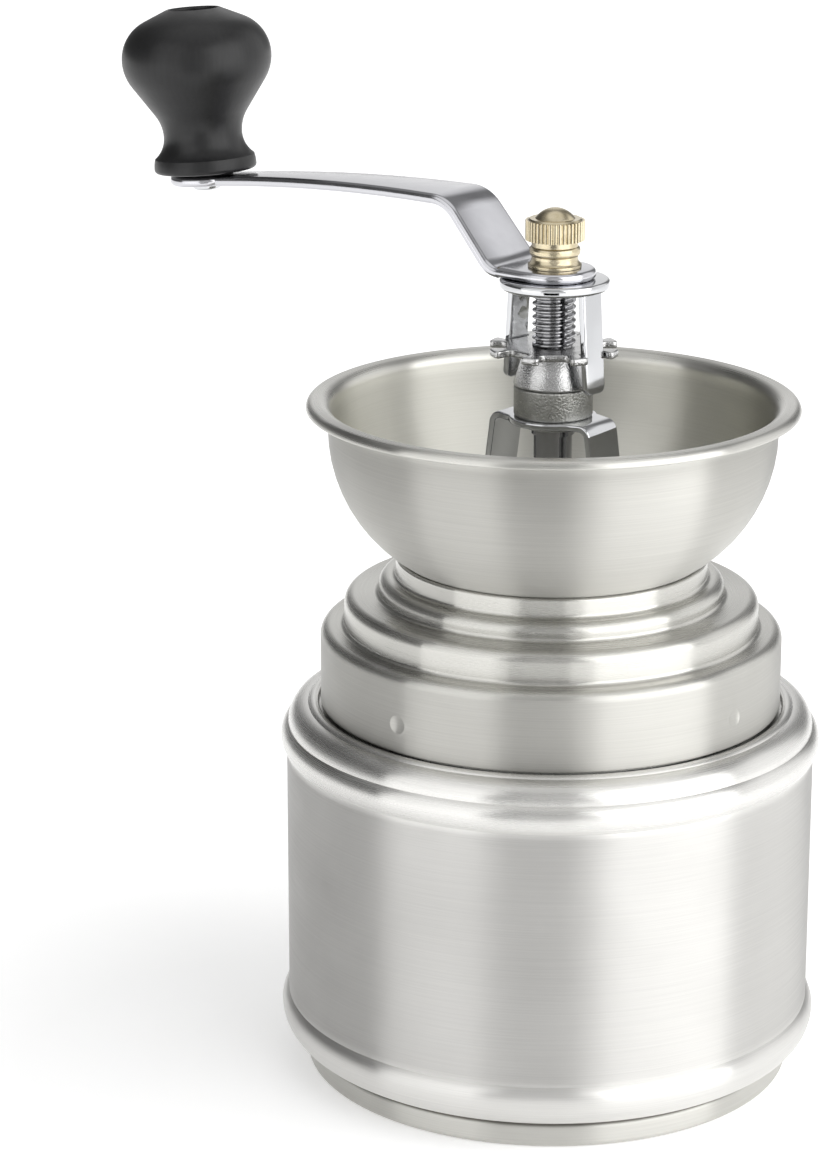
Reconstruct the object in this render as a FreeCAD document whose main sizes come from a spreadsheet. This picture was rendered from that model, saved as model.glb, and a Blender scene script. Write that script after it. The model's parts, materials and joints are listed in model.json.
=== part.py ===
import FreeCAD, Part
import math
import operator
import os
import Sketcher

# Hand crank coffee grinder. Millimetres, +Z up, origin at the centre of the base's underside.
# The crank arm points along -X. Heights stack up from the table, and radii of the stepped body
# are worked outwards from the hopper bowl that sits in its neck.

SIZES = (
    ("base_height", 4.85, "table to the canister's floor"),
    ("base_wall", 0.8, "sheet of the base pan"),
    ("base_corner", 1.0, "round at the foot of the base pan"),
    ("base_lip", 3.5, "width of the pan's turned-in top lip"),
    ("base_lip_round", 0.6, "round at the top of the base pan"),
    ("foot_inset", 4.8, "base pan inside the canister's lower bead"),
    ("canister_height", 65.55, "canister floor to the mouth that carries the head"),
    ("canister_wall", 0.7, "sheet of the canister"),
    ("low_corner", 6.03, "round of the canister's bottom corner"),
    ("low_bead_rise", 1.27, "lower bead proud of the wall"),
    ("low_bead_half", 2.5, "lower bead, widest line to its upper edge"),
    ("high_bead_rise", 1.07, "upper bead proud of the wall"),
    ("high_bead_drop", 6.4, "mouth down to the widest line of the upper bead"),
    ("high_bead_under", 2.8, "upper bead below its widest line"),
    ("high_bead_over", 2.4, "upper bead above its widest line"),
    ("shoulder_set_in", 0.3, "crease above the upper bead, inside the wall"),
    ("shoulder_drop", 0.32, "groove beside the mouth lip, below the mouth"),
    ("shoulder_width", 6.4, "canister wall radius beyond the collar's skirt"),
    ("lip_width", 2.0, "rolled lip round the mouth"),
    ("lip_gap", 0.4, "skirt to the rolled lip"),
    ("lip_round", 1.3, "radius of the rolled lip"),
    ("mouth_ledge", 1.4, "ledge inside the skirt's outer face"),
    ("skirt_height", 14.6, "skirt of the stepped collar"),
    ("tier_two_height", 6.0, "second tier of the collar"),
    ("tier_three_height", 3.4, "third tier of the collar"),
    ("neck_height", 3.6, "neck of the collar"),
    ("step_one", 4.4, "skirt to the second tier, radius"),
    ("step_two", 6.34, "second to the third tier, radius"),
    ("step_three", 3.2, "third tier to the neck, radius"),
    ("step_round", 1.8, "outer round of each step"),
    ("step_hollow", 0.8, "hollow at the foot of each step"),
    ("neck_round", 0.5, "round on the neck's edge"),
    ("collar_wall", 0.8, "sheet of the collar"),
    ("dimple_ball", 2.6, "radius of the punch that stakes the skirt"),
    ("dimple_depth", 0.45, "depth of each staking dimple"),
    ("dimple_height", 5.3, "dimples above the mouth"),
    ("dimple_angle", -3.4, "first dimple from the +X axis, degrees"),
    ("dimple_count", 4, "dimples round the skirt"),
    ("ring_wall", 0.8, "sheet of the locating ring"),
    ("ring_depth", 10.0, "locating ring below the mouth"),
    ("ring_rise", 10.5, "locating ring above the mouth"),
    ("ring_offset_height", 2.0, "start of the ring's step above the mouth"),
    ("ring_offset_length", 1.5, "height of the ring's step"),
    ("mouth_clearance", 0.3, "locating ring inside the canister's mouth"),
    ("press_gap", 0.02, "between pieces staked or pressed together"),
    ("bowl_radius", 41.0, "outside of the bowl's upright wall"),
    ("bowl_depth", 26.6, "floor to the top of the curved side"),
    ("bowl_wall", 0.6, "sheet of the bowl"),
    ("bowl_upright", 3.2, "upright wall above the curve"),
    ("bowl_seat_clearance", 0.05, "bowl inside the neck's edge"),
    ("rim_flare", 1.6, "inner round where the wall turns into the rim"),
    ("rim_width", 4.0, "rim beyond the bowl's wall"),
    ("rim_roll", 1.3, "roll at the edge of the rim"),
    ("throat_edge", 0.8, "bowl's floor inside the bridge's legs"),
    ("floor_gap", 1.8, "guide plate to the bowl's floor"),
    ("guide_opening", 16.0, "opening of the guide plate"),
    ("guide_thickness", 1.4, "guide plate sheet"),
    ("guide_clearance", 0.3, "guide plate inside the third tier"),
    ("spoke_width", 5.0, "guide plate spokes"),
    ("spoke_count", 3, "guide plate spokes"),
    ("guide_hub_radius", 6.5, "hub that steadies the shaft"),
    ("guide_hub_drop", 3.5, "hub below the plate"),
    ("burr_height", 21.6, "outer burr"),
    ("burr_ring_radius", 21.6, "outside of the outer burr"),
    ("burr_entry_radius", 15.5, "outer burr's bore at the top"),
    ("burr_neck_radius", 13.0, "outer burr's narrowest bore"),
    ("burr_neck_drop", 8.8, "top of the outer burr to its narrowest bore"),
    ("burr_exit_radius", 18.0, "outer burr's bore at the bottom"),
    ("burr_gap", 0.85, "level gap between the burrs at the coarsest setting"),
    ("burr_rim", 0.4, "flat edge of the inner burr"),
    ("inner_burr_height", 11.5, "inner burr"),
    ("outer_tooth_depth", 1.2, "grooves of the outer burr"),
    ("outer_tooth_width", 1.4, "grooves of the outer burr"),
    ("outer_tooth_count", 20, "grooves of the outer burr"),
    ("inner_tooth_depth", 1.8, "grooves of the inner burr"),
    ("inner_tooth_width", 1.8, "grooves of the inner burr"),
    ("inner_tooth_count", 12, "grooves of the inner burr"),
    ("ear_height", 5.0, "ears of the outer burr that take the bolts"),
    ("ear_width", 9.0, "ears of the outer burr"),
    ("bolt_inset", 2.8, "outside of the outer burr in to the bolts"),
    ("bolt_radius", 2.0, "bolt shank"),
    ("bolt_fit", 0.1, "bolt in its holes, radius"),
    ("bolt_head_radius", 2.9, "bolt head"),
    ("bolt_head_height", 2.2, "bolt head"),
    ("bolt_slot_width", 0.9, "screwdriver slot"),
    ("bolt_slot_depth", 1.0, "screwdriver slot"),
    ("bolt_end", 3.0, "bolt beyond the ears"),
    ("washer_thickness", 0.8, "spring washers under the bolt heads"),
    ("strap_thickness", 1.2, "bridge strap"),
    ("strap_width", 9.0, "bridge strap"),
    ("bridge_height", 28.5, "bowl floor to the top of the bridge"),
    ("foot_clearance", 0.15, "corners of the bridge's feet to the bowl's side"),
    ("head_clearance", 0.2, "bolt heads to the tips of the feet"),
    ("bridge_reach", 11.3, "axis to the bridge's upper corners"),
    ("bridge_splay", 3.5, "spread of each leg from its corner to its foot"),
    ("bridge_bend", 2.4, "outer round of the bridge's upper corners"),
    ("boss_radius", 8.2, "round middle of the bridge"),
    ("bush_radius", 7.2, "bush on the bridge"),
    ("bush_height", 5.6, "bush above the bridge"),
    ("bush_chamfer", 0.5, "edge of the bush"),
    ("spigot_radius", 5.4, "spigot of the bush through the bridge"),
    ("spigot_drop", 0.9, "spigot below the bridge"),
    ("shaft_radius", 3.5, "plain shaft"),
    ("journal_radius", 3.95, "journal of the shaft in the bush"),
    ("journal_drop", 2.2, "journal below the bridge strap"),
    ("running_fit", 0.05, "radial clearance of turning fits"),
    ("thread_depth", 0.7, "thread on the shaft"),
    ("thread_pitch", 1.25, "thread on the shaft"),
    ("thread_crest", 0.125, "flat between two grooves of the thread"),
    ("thread_relief", 0.8, "plain length under the yoke"),
    ("nut_play", 0.05, "adjusting nut above the bush"),
    ("nut_cone_height", 5.95, "cone of the adjusting nut"),
    ("nut_cone_radius", 7.3, "foot of the cone"),
    ("nut_cone_top", 5.6, "top of the cone"),
    ("nut_disc_radius", 12.1, "notched disc of the adjusting nut"),
    ("nut_disc_thickness", 1.35, "notched disc of the adjusting nut"),
    ("notch_count", 8, "notches"),
    ("notch_width", 5.5, "notches"),
    ("notch_floor", 8.5, "axis to the bottom of a notch"),
    ("notch_round", 1.0, "corners of a notch"),
    ("yoke_rise", 11.15, "adjusting nut to the lock yoke's plate"),
    ("yoke_thickness", 1.2, "lock yoke sheet"),
    ("yoke_radius", 10.0, "lock yoke plate"),
    ("yoke_leg_width", 4.3, "lock yoke legs"),
    ("yoke_leg_round", 1.4, "lower corners of the legs"),
    ("yoke_leg_drop", 7.35, "legs below the top of the nut's disc, past its underside"),
    ("yoke_angle", -8.0, "lock yoke from the +X axis, degrees"),
    ("stud_radius", 2.95, "stud on top of the shaft"),
    ("stud_flat", 2.3, "axis to the flats of the stud"),
    ("stud_fit", 0.05, "yoke and arm round the stud"),
    ("stud_length", 6.4, "stud above the crank arm"),
    ("arm_thickness", 2.0, "crank arm strap"),
    ("arm_hub_radius", 7.5, "round end of the arm at the shaft"),
    ("arm_flat", 7.84, "axis to the start of the lower bend"),
    ("arm_slope", 48.8, "slope of the cranked part, degrees"),
    ("arm_low_bend", 3.5, "lower bend, upper face"),
    ("arm_high_bend", 7.9, "upper bend, upper face"),
    ("arm_ramp", 10.24, "straight part of the slope"),
    ("arm_droop", 7.2, "fall of the arm beside its eye, degrees"),
    ("arm_reach", 53.25, "upper bend to the start of the eye"),
    ("arm_wide", 13.6, "width at the upper bend"),
    ("arm_narrow", 7.6, "width beside the eye"),
    ("eye_radius", 6.8, "eye of the arm"),
    ("eye_droop", 5.0, "fall of the eye, degrees"),
    ("pin_radius", 2.0, "knob pin"),
    ("pin_fit", 0.03, "knob pin in the arm, radius"),
    ("pin_tail_radius", 2.7, "riveted end under the arm"),
    ("pin_tail_height", 1.1, "riveted end under the arm"),
    ("pin_head_radius", 3.6, "pin head in the knob's recess"),
    ("pin_head_height", 1.5, "pin head in the knob's recess"),
    ("pin_head_play", 0.1, "head above the recess floor"),
    ("knob_fit", 0.08, "knob on its pin, radius"),
    ("knob_washer_radius", 5.2, "washer under the knob"),
    ("knob_washer_thickness", 0.5, "washer under the knob"),
    ("knob_play", 0.05, "knob above its washer"),
    ("knob_base_radius", 9.85, "foot of the knob"),
    ("knob_base_round", 0.8, "lower round of the foot"),
    ("knob_base_rise", 1.9, "foot's widest line to its upper edge"),
    ("knob_base_taper", 0.25, "foot's upper edge inside its widest line"),
    ("knob_neck_radius", 7.55, "narrowest part of the knob"),
    ("knob_neck_height", 6.9, "narrowest part above the foot"),
    ("knob_waist_curve", 7.4, "hollow above the neck"),
    ("knob_slope", 34.6, "slope of the side from upright, degrees"),
    ("knob_side", 7.0, "straight part of the side"),
    ("knob_shoulder_curve", 8.5, "round up to the widest part"),
    ("knob_crown_curve", 7.9, "round above the widest part"),
    ("knob_crown_slope", 66.0, "slope of the crown from upright, degrees"),
    ("recess_radius", 4.6, "recess in the knob's top"),
    ("recess_round", 0.5, "edge of the recess"),
    ("recess_depth", 5.0, "recess in the knob's top"),
    ("cap_flange_radius", 4.85, "foot of the cap nut"),
    ("cap_flange_height", 0.6, "foot of the cap nut"),
    ("cap_waist_radius", 4.2, "waist of the cap nut"),
    ("cap_waist_height", 2.0, "waist above the seat"),
    ("cap_bead_radius", 4.55, "bead of the cap nut"),
    ("cap_bead_height", 3.0, "bead above the seat"),
    ("cap_neck_height", 4.0, "neck above the bead, above the seat"),
    ("cap_band_radius", 5.37, "knurled band"),
    ("cap_band_bottom", 5.0, "knurled band above the seat"),
    ("cap_band_height", 3.9, "knurled band"),
    ("cap_band_chamfer", 0.4, "edges of the knurled band"),
    ("cap_dome_radius", 3.5, "foot of the dome"),
    ("cap_dome_height", 1.9, "dome above the band"),
    ("cap_bore_depth", 7.2, "threaded hole of the cap nut"),
    ("drive_pin_radius", 1.4, "cross pin that turns the inner burr"),
    ("drive_pin_half", 6.0, "half length of the cross pin"),
    ("drive_pin_fit", 0.03, "cross pin in its holes"),
    ("drive_slot_depth", 3.0, "slot in the inner burr's top"),
    ("spring_washer_radius", 7.5, "washer under the spring"),
    ("spring_washer_thickness", 1.0, "washer under the spring"),
    ("spring_coil_radius", 5.4, "middle of the spring's wire"),
    ("spring_wire_radius", 0.5, "spring wire"),
    ("spring_turns", 3.0, "turns of the spring"),
    ("spring_seat", 0.05, "spring end to its seat"),
    ("end_radius", 3.0, "threaded end of the shaft"),
    ("end_fit", 0.05, "nut and washer on the threaded end"),
    ("end_shoulder", 2.0, "shoulder of the shaft inside the inner burr"),
    ("end_washer_radius", 7.0, "washer under the inner burr"),
    ("end_washer_thickness", 1.2, "washer under the inner burr"),
    ("end_nut_corner", 5.77, "corner radius of the end nut"),
    ("end_nut_height", 5.0, "end nut"),
    ("end_spare", 1.5, "shaft beyond the end nut"),
)

OPERATORS = {"+": operator.add, "-": operator.sub, "*": operator.mul, "/": operator.truediv}


class Size:
    """A length or angle: its value now, and the sheet formula that it follows."""

    def __init__(self, value, formula):
        self.value = value
        self.formula = formula

    def __add__(self, other):
        return combined(self, "+", other)

    def __sub__(self, other):
        return combined(self, "-", other)

    def __mul__(self, other):
        return combined(self, "*", other)

    def __truediv__(self, other):
        return combined(self, "/", other)

    def __neg__(self):
        return combined(0, "-", self)


def as_size(number):
    if isinstance(number, Size):
        return number
    return Size(float(number), repr(float(number)))


def combined(left, sign, right):
    left = as_size(left)
    right = as_size(right)
    value = OPERATORS[sign](left.value, right.value)
    return Size(value, f"({left.formula} {sign} {right.formula})")


def root(size):
    return Size(math.sqrt(size.value), f"sqrt({size.formula})")


def whole(size):
    return Size(math.floor(size.value), f"floor({size.formula})")


def sine(angle):
    return Size(math.sin(math.radians(angle.value)), f"sin({angle.formula})")


def cosine(angle):
    return Size(math.cos(math.radians(angle.value)), f"cos({angle.formula})")


def sagging_arc(run, rise):
    """Radius of an arc that starts upright and ends run further in and rise further up."""
    return (run * run + rise * rise) / (run * 2)


class Dimensions:
    """The driving dimensions, each a Size that points at its cell in the sheet."""

    def __init__(self, document):
        sheet = document.addObject("Spreadsheet::Sheet", "sizes")
        for row, (name, value, words) in enumerate(SIZES, start=1):
            sheet.set(f"A{row}", words)
            sheet.set(f"B{row}", str(value))
            sheet.setAlias(f"B{row}", name)
            setattr(self, name, Size(float(value), f"sizes.{name}"))


doc = FreeCAD.newDocument("coffee_grinder")
mill = Dimensions(doc)
doc.recompute()
pieces = []


def bind(item, setting, size):
    item.setExpression(setting, as_size(size).formula)


def piece(item, label):
    item.Label = label
    pieces.append(item)
    return item


def new_body(name):
    return doc.addObject("PartDesign::Body", name)


def origin_part(body, role):
    for feature in body.Origin.OriginFeatures:
        if feature.Role == role:
            return feature
    raise ValueError(role)


def new_sketch(body, name, plane, height=None):
    sketch = body.newObject("Sketcher::SketchObject", name)
    sketch.AttachmentSupport = [(origin_part(body, plane), "")]
    sketch.MapMode = "FlatFace"
    if height is not None:
        bind(sketch, "AttachmentOffset.Base.z", height)
    return sketch


def edge_between(start, end):
    """A line, or an arc where the end has a radius, with the numbers of its two ends."""
    first = FreeCAD.Vector(start[0].value, start[1].value, 0)
    last = FreeCAD.Vector(end[0].value, end[1].value, 0)
    if len(end) == 2:
        return Part.LineSegment(first, last), (1, 2)
    turn = end[2].value
    half = (last - first) * 0.5
    reach = math.sqrt(max(turn * turn - half.Length ** 2, 0.0))
    left = FreeCAD.Vector(-half.y, half.x, 0).normalize()
    centre = first + half + left * math.copysign(reach, turn)
    ends = (first, last) if turn > 0 else (last, first)
    angles = [math.atan2(point.y - centre.y, point.x - centre.x) for point in ends]
    circle = Part.Circle(centre, FreeCAD.Vector(0, 0, 1), abs(turn))
    return Part.ArcOfCircle(circle, *angles), (1, 2) if turn > 0 else (2, 1)


def draw(sketch, outline):
    """Draw a closed outline and tie each corner to the sheet.

    A corner is (x, y), or (x, y, radius) where an arc leads to it. A positive radius turns left.
    """
    corners = [tuple(as_size(number) for number in corner) for corner in outline]
    first = sketch.GeometryCount
    ends = []
    for index, corner in enumerate(corners):
        edge, numbers = edge_between(corners[index - 1], corner)
        sketch.addGeometry(edge)
        ends.append(numbers)
    rules = []
    formulas = {}
    for index, corner in enumerate(corners):
        edge = first + index
        after = (index + 1) % len(corners)
        tip = ends[index][1]
        rules.append(Sketcher.Constraint("Coincident", edge, tip, first + after, ends[after][0]))
        for rule, axis, size in (("DistanceX", -2, corner[0]), ("DistanceY", -1, corner[1])):
            if size.value == 0:
                rules.append(Sketcher.Constraint("PointOnObject", edge, tip, axis))
            elif size.value > 0:
                formulas[len(rules)] = size.formula
                rules.append(Sketcher.Constraint(rule, -1, 1, edge, tip, size.value))
            else:
                formulas[len(rules)] = (-size).formula
                rules.append(Sketcher.Constraint(rule, edge, tip, -1, 1, -size.value))
        if len(corner) == 3:
            radius = corner[2] if corner[2].value > 0 else -corner[2]
            formulas[len(rules)] = radius.formula
            rules.append(Sketcher.Constraint("Radius", edge, radius.value))
    offset = sketch.ConstraintCount
    sketch.addConstraint(rules)
    for index, formula in formulas.items():
        sketch.setExpression(f"Constraints[{offset + index}]", formula)
    return sketch


def ring(sketch, radius, across=None):
    """Draw a circle about the sketch's origin, or about a point on its first axis."""
    across = as_size(0) if across is None else across
    centre = FreeCAD.Vector(across.value, 0, 0)
    edge = sketch.addGeometry(Part.Circle(centre, FreeCAD.Vector(0, 0, 1), radius.value))
    if across.value == 0:
        sketch.addConstraint(Sketcher.Constraint("Coincident", edge, 3, -1, 1))
    else:
        sketch.addConstraint(Sketcher.Constraint("PointOnObject", edge, 3, -1))
        rule = sketch.addConstraint(Sketcher.Constraint("DistanceX", -1, 1, edge, 3, across.value))
        sketch.setExpression(f"Constraints[{rule}]", across.formula)
    rule = sketch.addConstraint(Sketcher.Constraint("Radius", edge, radius.value))
    sketch.setExpression(f"Constraints[{rule}]", radius.formula)
    return sketch


def revolve(body, name, outline, kind="PartDesign::Revolution"):
    """Turn an outline of (radius, height) corners about the body's Z axis."""
    sketch = draw(new_sketch(body, name + "_outline", "XZ_Plane"), outline)
    feature = body.newObject(kind, name)
    feature.Profile = sketch
    feature.ReferenceAxis = (sketch, ["V_Axis"])
    feature.Angle = 360
    doc.recompute()
    return feature


def turned(label, outline):
    body = new_body(label)
    revolve(body, label + "_turning", outline)
    return piece(body, label)


def pad(body, name, sketch, length, symmetric=False):
    feature = body.newObject("PartDesign::Pad", name)
    feature.Profile = sketch
    bind(feature, "Length", length)
    if symmetric:
        feature.SideType = "Symmetric"
    doc.recompute()
    return feature


def pocket(body, name, sketch, length, symmetric=False):
    """Cut a sketch out of a body; the sketch looks at the metal from its own positive side."""
    before = body.Shape.Volume
    feature = body.newObject("PartDesign::Pocket", name)
    feature.Profile = sketch
    bind(feature, "Length", length)
    if symmetric:
        feature.SideType = "Symmetric"
    doc.recompute()
    if body.Shape.Volume >= before:
        raise RuntimeError(name + " cuts nothing")
    return feature


def polar(body, feature, count):
    pattern = body.newObject("PartDesign::PolarPattern", feature.Name + "_round")
    pattern.Originals = [feature]
    pattern.Axis = (origin_part(body, "Z_Axis"), [""])
    pattern.Angle = 360
    bind(pattern, "Occurrences", count)
    body.Tip = pattern
    doc.recompute()
    return pattern


def place(item, height=None, turn=None):
    if turn is not None:
        item.Placement = FreeCAD.Placement(FreeCAD.Vector(), FreeCAD.Rotation(FreeCAD.Vector(0, 0, 1), 1))
        bind(item, "Placement.Rotation.Angle", turn)
    if height is not None:
        bind(item, "Placement.Base.z", height)
    return item


# Heights of the stack, from the table up.
floor_z = mill.base_height
mouth_z = floor_z + mill.canister_height
tier_two_z = mouth_z + mill.skirt_height
tier_three_z = tier_two_z + mill.tier_two_height
neck_z = tier_three_z + mill.tier_three_height
neck_top = neck_z + mill.neck_height
guide_top = neck_z - mill.collar_wall
guide_bottom = guide_top - mill.guide_thickness
bowl_floor = guide_top + mill.floor_gap
bowl_inside = bowl_floor + mill.bowl_wall
bowl_middle = bowl_floor + mill.bowl_depth
bridge_top = bowl_inside + mill.bridge_height
strap_bottom = bridge_top - mill.strap_thickness
bush_top = bridge_top + mill.bush_height
nut_bottom = bush_top + mill.nut_play
nut_middle = nut_bottom + mill.nut_cone_height
nut_top = nut_middle + mill.nut_disc_thickness
yoke_bottom = nut_top + mill.yoke_rise
arm_bottom = yoke_bottom + mill.yoke_thickness
arm_top = arm_bottom + mill.arm_thickness
burr_bottom = guide_bottom - mill.burr_height
burr_neck_z = guide_bottom - mill.burr_neck_drop
inner_burr_top = burr_bottom + mill.inner_burr_height
drive_pin_z = inner_burr_top - mill.drive_slot_depth + mill.drive_pin_radius + mill.drive_pin_fit
spring_bottom = inner_burr_top + mill.spring_washer_thickness
spring_top = guide_bottom - mill.guide_hub_drop
end_washer_bottom = burr_bottom - mill.end_washer_thickness
end_nut_bottom = end_washer_bottom - mill.end_nut_height
shaft_bottom = end_nut_bottom - mill.end_spare

# The clamp bolts go down into the outer burr from the bridge's feet. The bowl's flat floor reaches
# just beyond the feet, and in towards the shaft as far as the bridge's legs.
bolt_circle = mill.burr_ring_radius - mill.bolt_inset
leg_foot = mill.bridge_reach + mill.bridge_splay
foot_tip = bolt_circle + mill.bolt_head_radius + mill.head_clearance
foot_corner = root(foot_tip * foot_tip + mill.strap_width * mill.strap_width / 4)
floor_edge = foot_corner + mill.foot_clearance
throat_radius = leg_foot - mill.strap_thickness - mill.throat_edge

# The bowl's side is an arc from the edge of its floor to its upright wall.
bowl_hollow = mill.bowl_radius - mill.bowl_wall
inner_curve = sagging_arc(bowl_hollow - floor_edge, mill.bowl_depth - mill.bowl_wall)
bowl_curve = inner_curve + mill.bowl_wall
bowl_centre = mill.bowl_radius - bowl_curve

# Radii of the stepped body, from the bowl outwards.
neck_drop = bowl_middle - neck_top
bowl_at_neck = bowl_centre + root(bowl_curve * bowl_curve - neck_drop * neck_drop)
neck_inside = bowl_at_neck + mill.bowl_seat_clearance
neck_radius = neck_inside + mill.collar_wall
tier_three_radius = neck_radius + mill.step_three
tier_two_radius = tier_three_radius + mill.step_two
skirt_radius = tier_two_radius + mill.step_one
skirt_inside = skirt_radius - mill.collar_wall
mouth_radius = skirt_radius - mill.mouth_ledge
canister_radius = skirt_radius + mill.shoulder_width
low_bead_radius = canister_radius + mill.low_bead_rise
base_radius = low_bead_radius - mill.foot_inset

# The arm's upper face, drawn along +X: foot and head of the ramp, top of the arch, eye and pin.
arm_rise = sine(mill.arm_slope)
arm_level = cosine(mill.arm_slope)
arm_fall = sine(mill.arm_droop)
arm_along = cosine(mill.arm_droop)
ramp_x = mill.arm_flat + mill.arm_low_bend * arm_rise
ramp_z = arm_top + mill.arm_low_bend * (as_size(1) - arm_level)
crest_x = ramp_x + mill.arm_ramp * arm_level
crest_z = ramp_z + mill.arm_ramp * arm_rise
arch_x = crest_x + mill.arm_high_bend * arm_rise
arch_z = crest_z + mill.arm_high_bend * (as_size(1) - arm_level)
arch_radius = mill.arm_reach / arm_fall
eye_x = arch_x + mill.arm_reach
eye_z = arch_z - arch_radius * (as_size(1) - arm_along)
eye_fall = sine(mill.eye_droop)
eye_along = cosine(mill.eye_droop)
pin_x = eye_x + mill.eye_radius * eye_along
pin_z = eye_z - mill.eye_radius * eye_fall

# Heights of the knob above the arm's upper face, square to its eye.
knob_lean = sine(mill.knob_slope)
knob_upright = cosine(mill.knob_slope)
knob_foot = mill.knob_washer_thickness + mill.knob_play
knob_neck = knob_foot + mill.knob_neck_height
knob_side_start = knob_neck + mill.knob_waist_curve * knob_lean
knob_side_end = knob_side_start + mill.knob_side * knob_upright
knob_widest = knob_side_end + mill.knob_shoulder_curve * knob_lean

# Radii of the knob from its neck up. The crown's round ends in a slope up to the recess.
knob_spread = as_size(1) - knob_upright
side_radius = mill.knob_neck_radius + mill.knob_waist_curve * knob_spread
bulge_radius = side_radius + mill.knob_side * knob_lean
widest_radius = bulge_radius + mill.knob_shoulder_curve * knob_spread
crown_lean = sine(mill.knob_crown_slope)
crown_upright = cosine(mill.knob_crown_slope)
crown_start = widest_radius - mill.knob_crown_curve * (as_size(1) - crown_upright)
crown_start_z = knob_widest + mill.knob_crown_curve * crown_lean
crown_radius = mill.recess_radius + mill.recess_round
knob_crown = crown_start_z + (crown_start - crown_radius) * crown_upright / crown_lean
recess_floor = knob_crown - mill.recess_depth


def base_pan():
    """Pressed foot under the canister, flat below, with a turned-in lip on top."""
    inside = base_radius - mill.base_wall
    lip_inside = base_radius - mill.base_lip
    lip_under = mill.base_height - mill.base_wall
    turned("base_pan", (
        (0, 0),
        (base_radius - mill.base_corner, 0),
        (base_radius, mill.base_corner, mill.base_corner),
        (base_radius, mill.base_height - mill.base_lip_round),
        (base_radius - mill.base_lip_round, mill.base_height, mill.base_lip_round),
        (lip_inside, mill.base_height),
        (lip_inside, lip_under),
        (inside, lip_under),
        (inside, mill.base_wall),
        (0, mill.base_wall),
    ))


def canister():
    """Spun jar that catches the grounds: two beads, a round shoulder and a rolled mouth."""
    widest_low = floor_z + mill.low_corner
    wall_start = widest_low + mill.low_bead_half
    low_bead_round = sagging_arc(mill.low_bead_rise, mill.low_bead_half)
    widest_high = mouth_z - mill.high_bead_drop
    crease_z = widest_high + mill.high_bead_over
    high_bead_radius = canister_radius + mill.high_bead_rise
    crease_radius = canister_radius - mill.shoulder_set_in
    lip_outside = skirt_radius + mill.lip_gap + mill.lip_width
    shoulder_top = mouth_z - mill.shoulder_drop
    under_shoulder = shoulder_top - mill.canister_wall
    wall_inside = canister_radius - mill.canister_wall
    corner_inside = mill.low_corner - mill.canister_wall * 2
    floor_inside = floor_z + mill.canister_wall
    turned("canister", (
        (0, floor_z),
        (low_bead_radius - mill.low_corner, floor_z),
        (low_bead_radius, widest_low, mill.low_corner),
        (canister_radius, wall_start, low_bead_round),
        (canister_radius, widest_high - mill.high_bead_under),
        (high_bead_radius, widest_high, sagging_arc(mill.high_bead_rise, mill.high_bead_under)),
        (crease_radius, crease_z, sagging_arc(high_bead_radius - crease_radius, mill.high_bead_over)),
        (lip_outside, shoulder_top, sagging_arc(crease_radius - lip_outside, shoulder_top - crease_z)),
        (skirt_radius + mill.lip_gap, mouth_z, mill.lip_round),
        (mouth_radius, mouth_z),
        (mouth_radius, under_shoulder),
        (lip_outside, under_shoulder),
        (wall_inside, crease_z, -sagging_arc(wall_inside - lip_outside, under_shoulder - crease_z)),
        (wall_inside, floor_inside + corner_inside),
        (wall_inside - corner_inside, floor_inside, -corner_inside),
        (0, floor_inside),
    ))


def stepped_collar():
    """Pressed collar of three tiers and a neck that holds the bowl, staked by dimples."""
    tiers = (
        (skirt_radius, tier_two_z),
        (tier_two_radius, tier_three_z),
        (tier_three_radius, neck_z),
    )
    inner_radii = (tier_two_radius, tier_three_radius, neck_radius)
    outside = [(skirt_inside, mouth_z), (skirt_radius, mouth_z)]
    inside = []
    for (radius, top), inner in zip(tiers, inner_radii):
        outside.append((radius, top - mill.step_round))
        outside.append((radius - mill.step_round, top, mill.step_round))
        outside.append((inner + mill.step_hollow, top))
        outside.append((inner, top + mill.step_hollow, -mill.step_hollow))
        inside.append((radius - mill.collar_wall, top - mill.collar_wall))
        inside.append((inner - mill.collar_wall, top - mill.collar_wall))
    outside.append((neck_radius, neck_top - mill.neck_round))
    outside.append((neck_radius - mill.neck_round, neck_top, mill.neck_round))
    outside.append((neck_inside, neck_top))
    body = new_body("stepped_collar")
    revolve(body, "collar_pressing", outside + inside[::-1])
    dimple = body.newObject("PartDesign::SubtractiveSphere", "dimple")
    bind(dimple, "Radius", mill.dimple_ball)
    punch_centre = skirt_radius + mill.dimple_ball - mill.dimple_depth
    bind(dimple, "Placement.Base.x", punch_centre)
    bind(dimple, "Placement.Base.z", mouth_z + mill.dimple_height)
    doc.recompute()
    polar(body, dimple, mill.dimple_count)
    place(body, turn=mill.dimple_angle)
    piece(body, "stepped_collar")


def locating_ring():
    """Sleeve staked into the skirt that centres the head in the canister's mouth."""
    upper = skirt_inside - mill.press_gap
    lower = mouth_radius - mill.mouth_clearance
    bottom = mouth_z - mill.ring_depth
    step_start = mouth_z + mill.ring_offset_height
    step_end = step_start + mill.ring_offset_length
    top = mouth_z + mill.ring_rise
    turned("locating_ring", (
        (lower - mill.ring_wall, bottom),
        (lower, bottom),
        (lower, step_start),
        (upper, step_end),
        (upper, top),
        (upper - mill.ring_wall, top),
        (upper - mill.ring_wall, step_end),
        (lower - mill.ring_wall, step_start),
    ))


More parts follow.
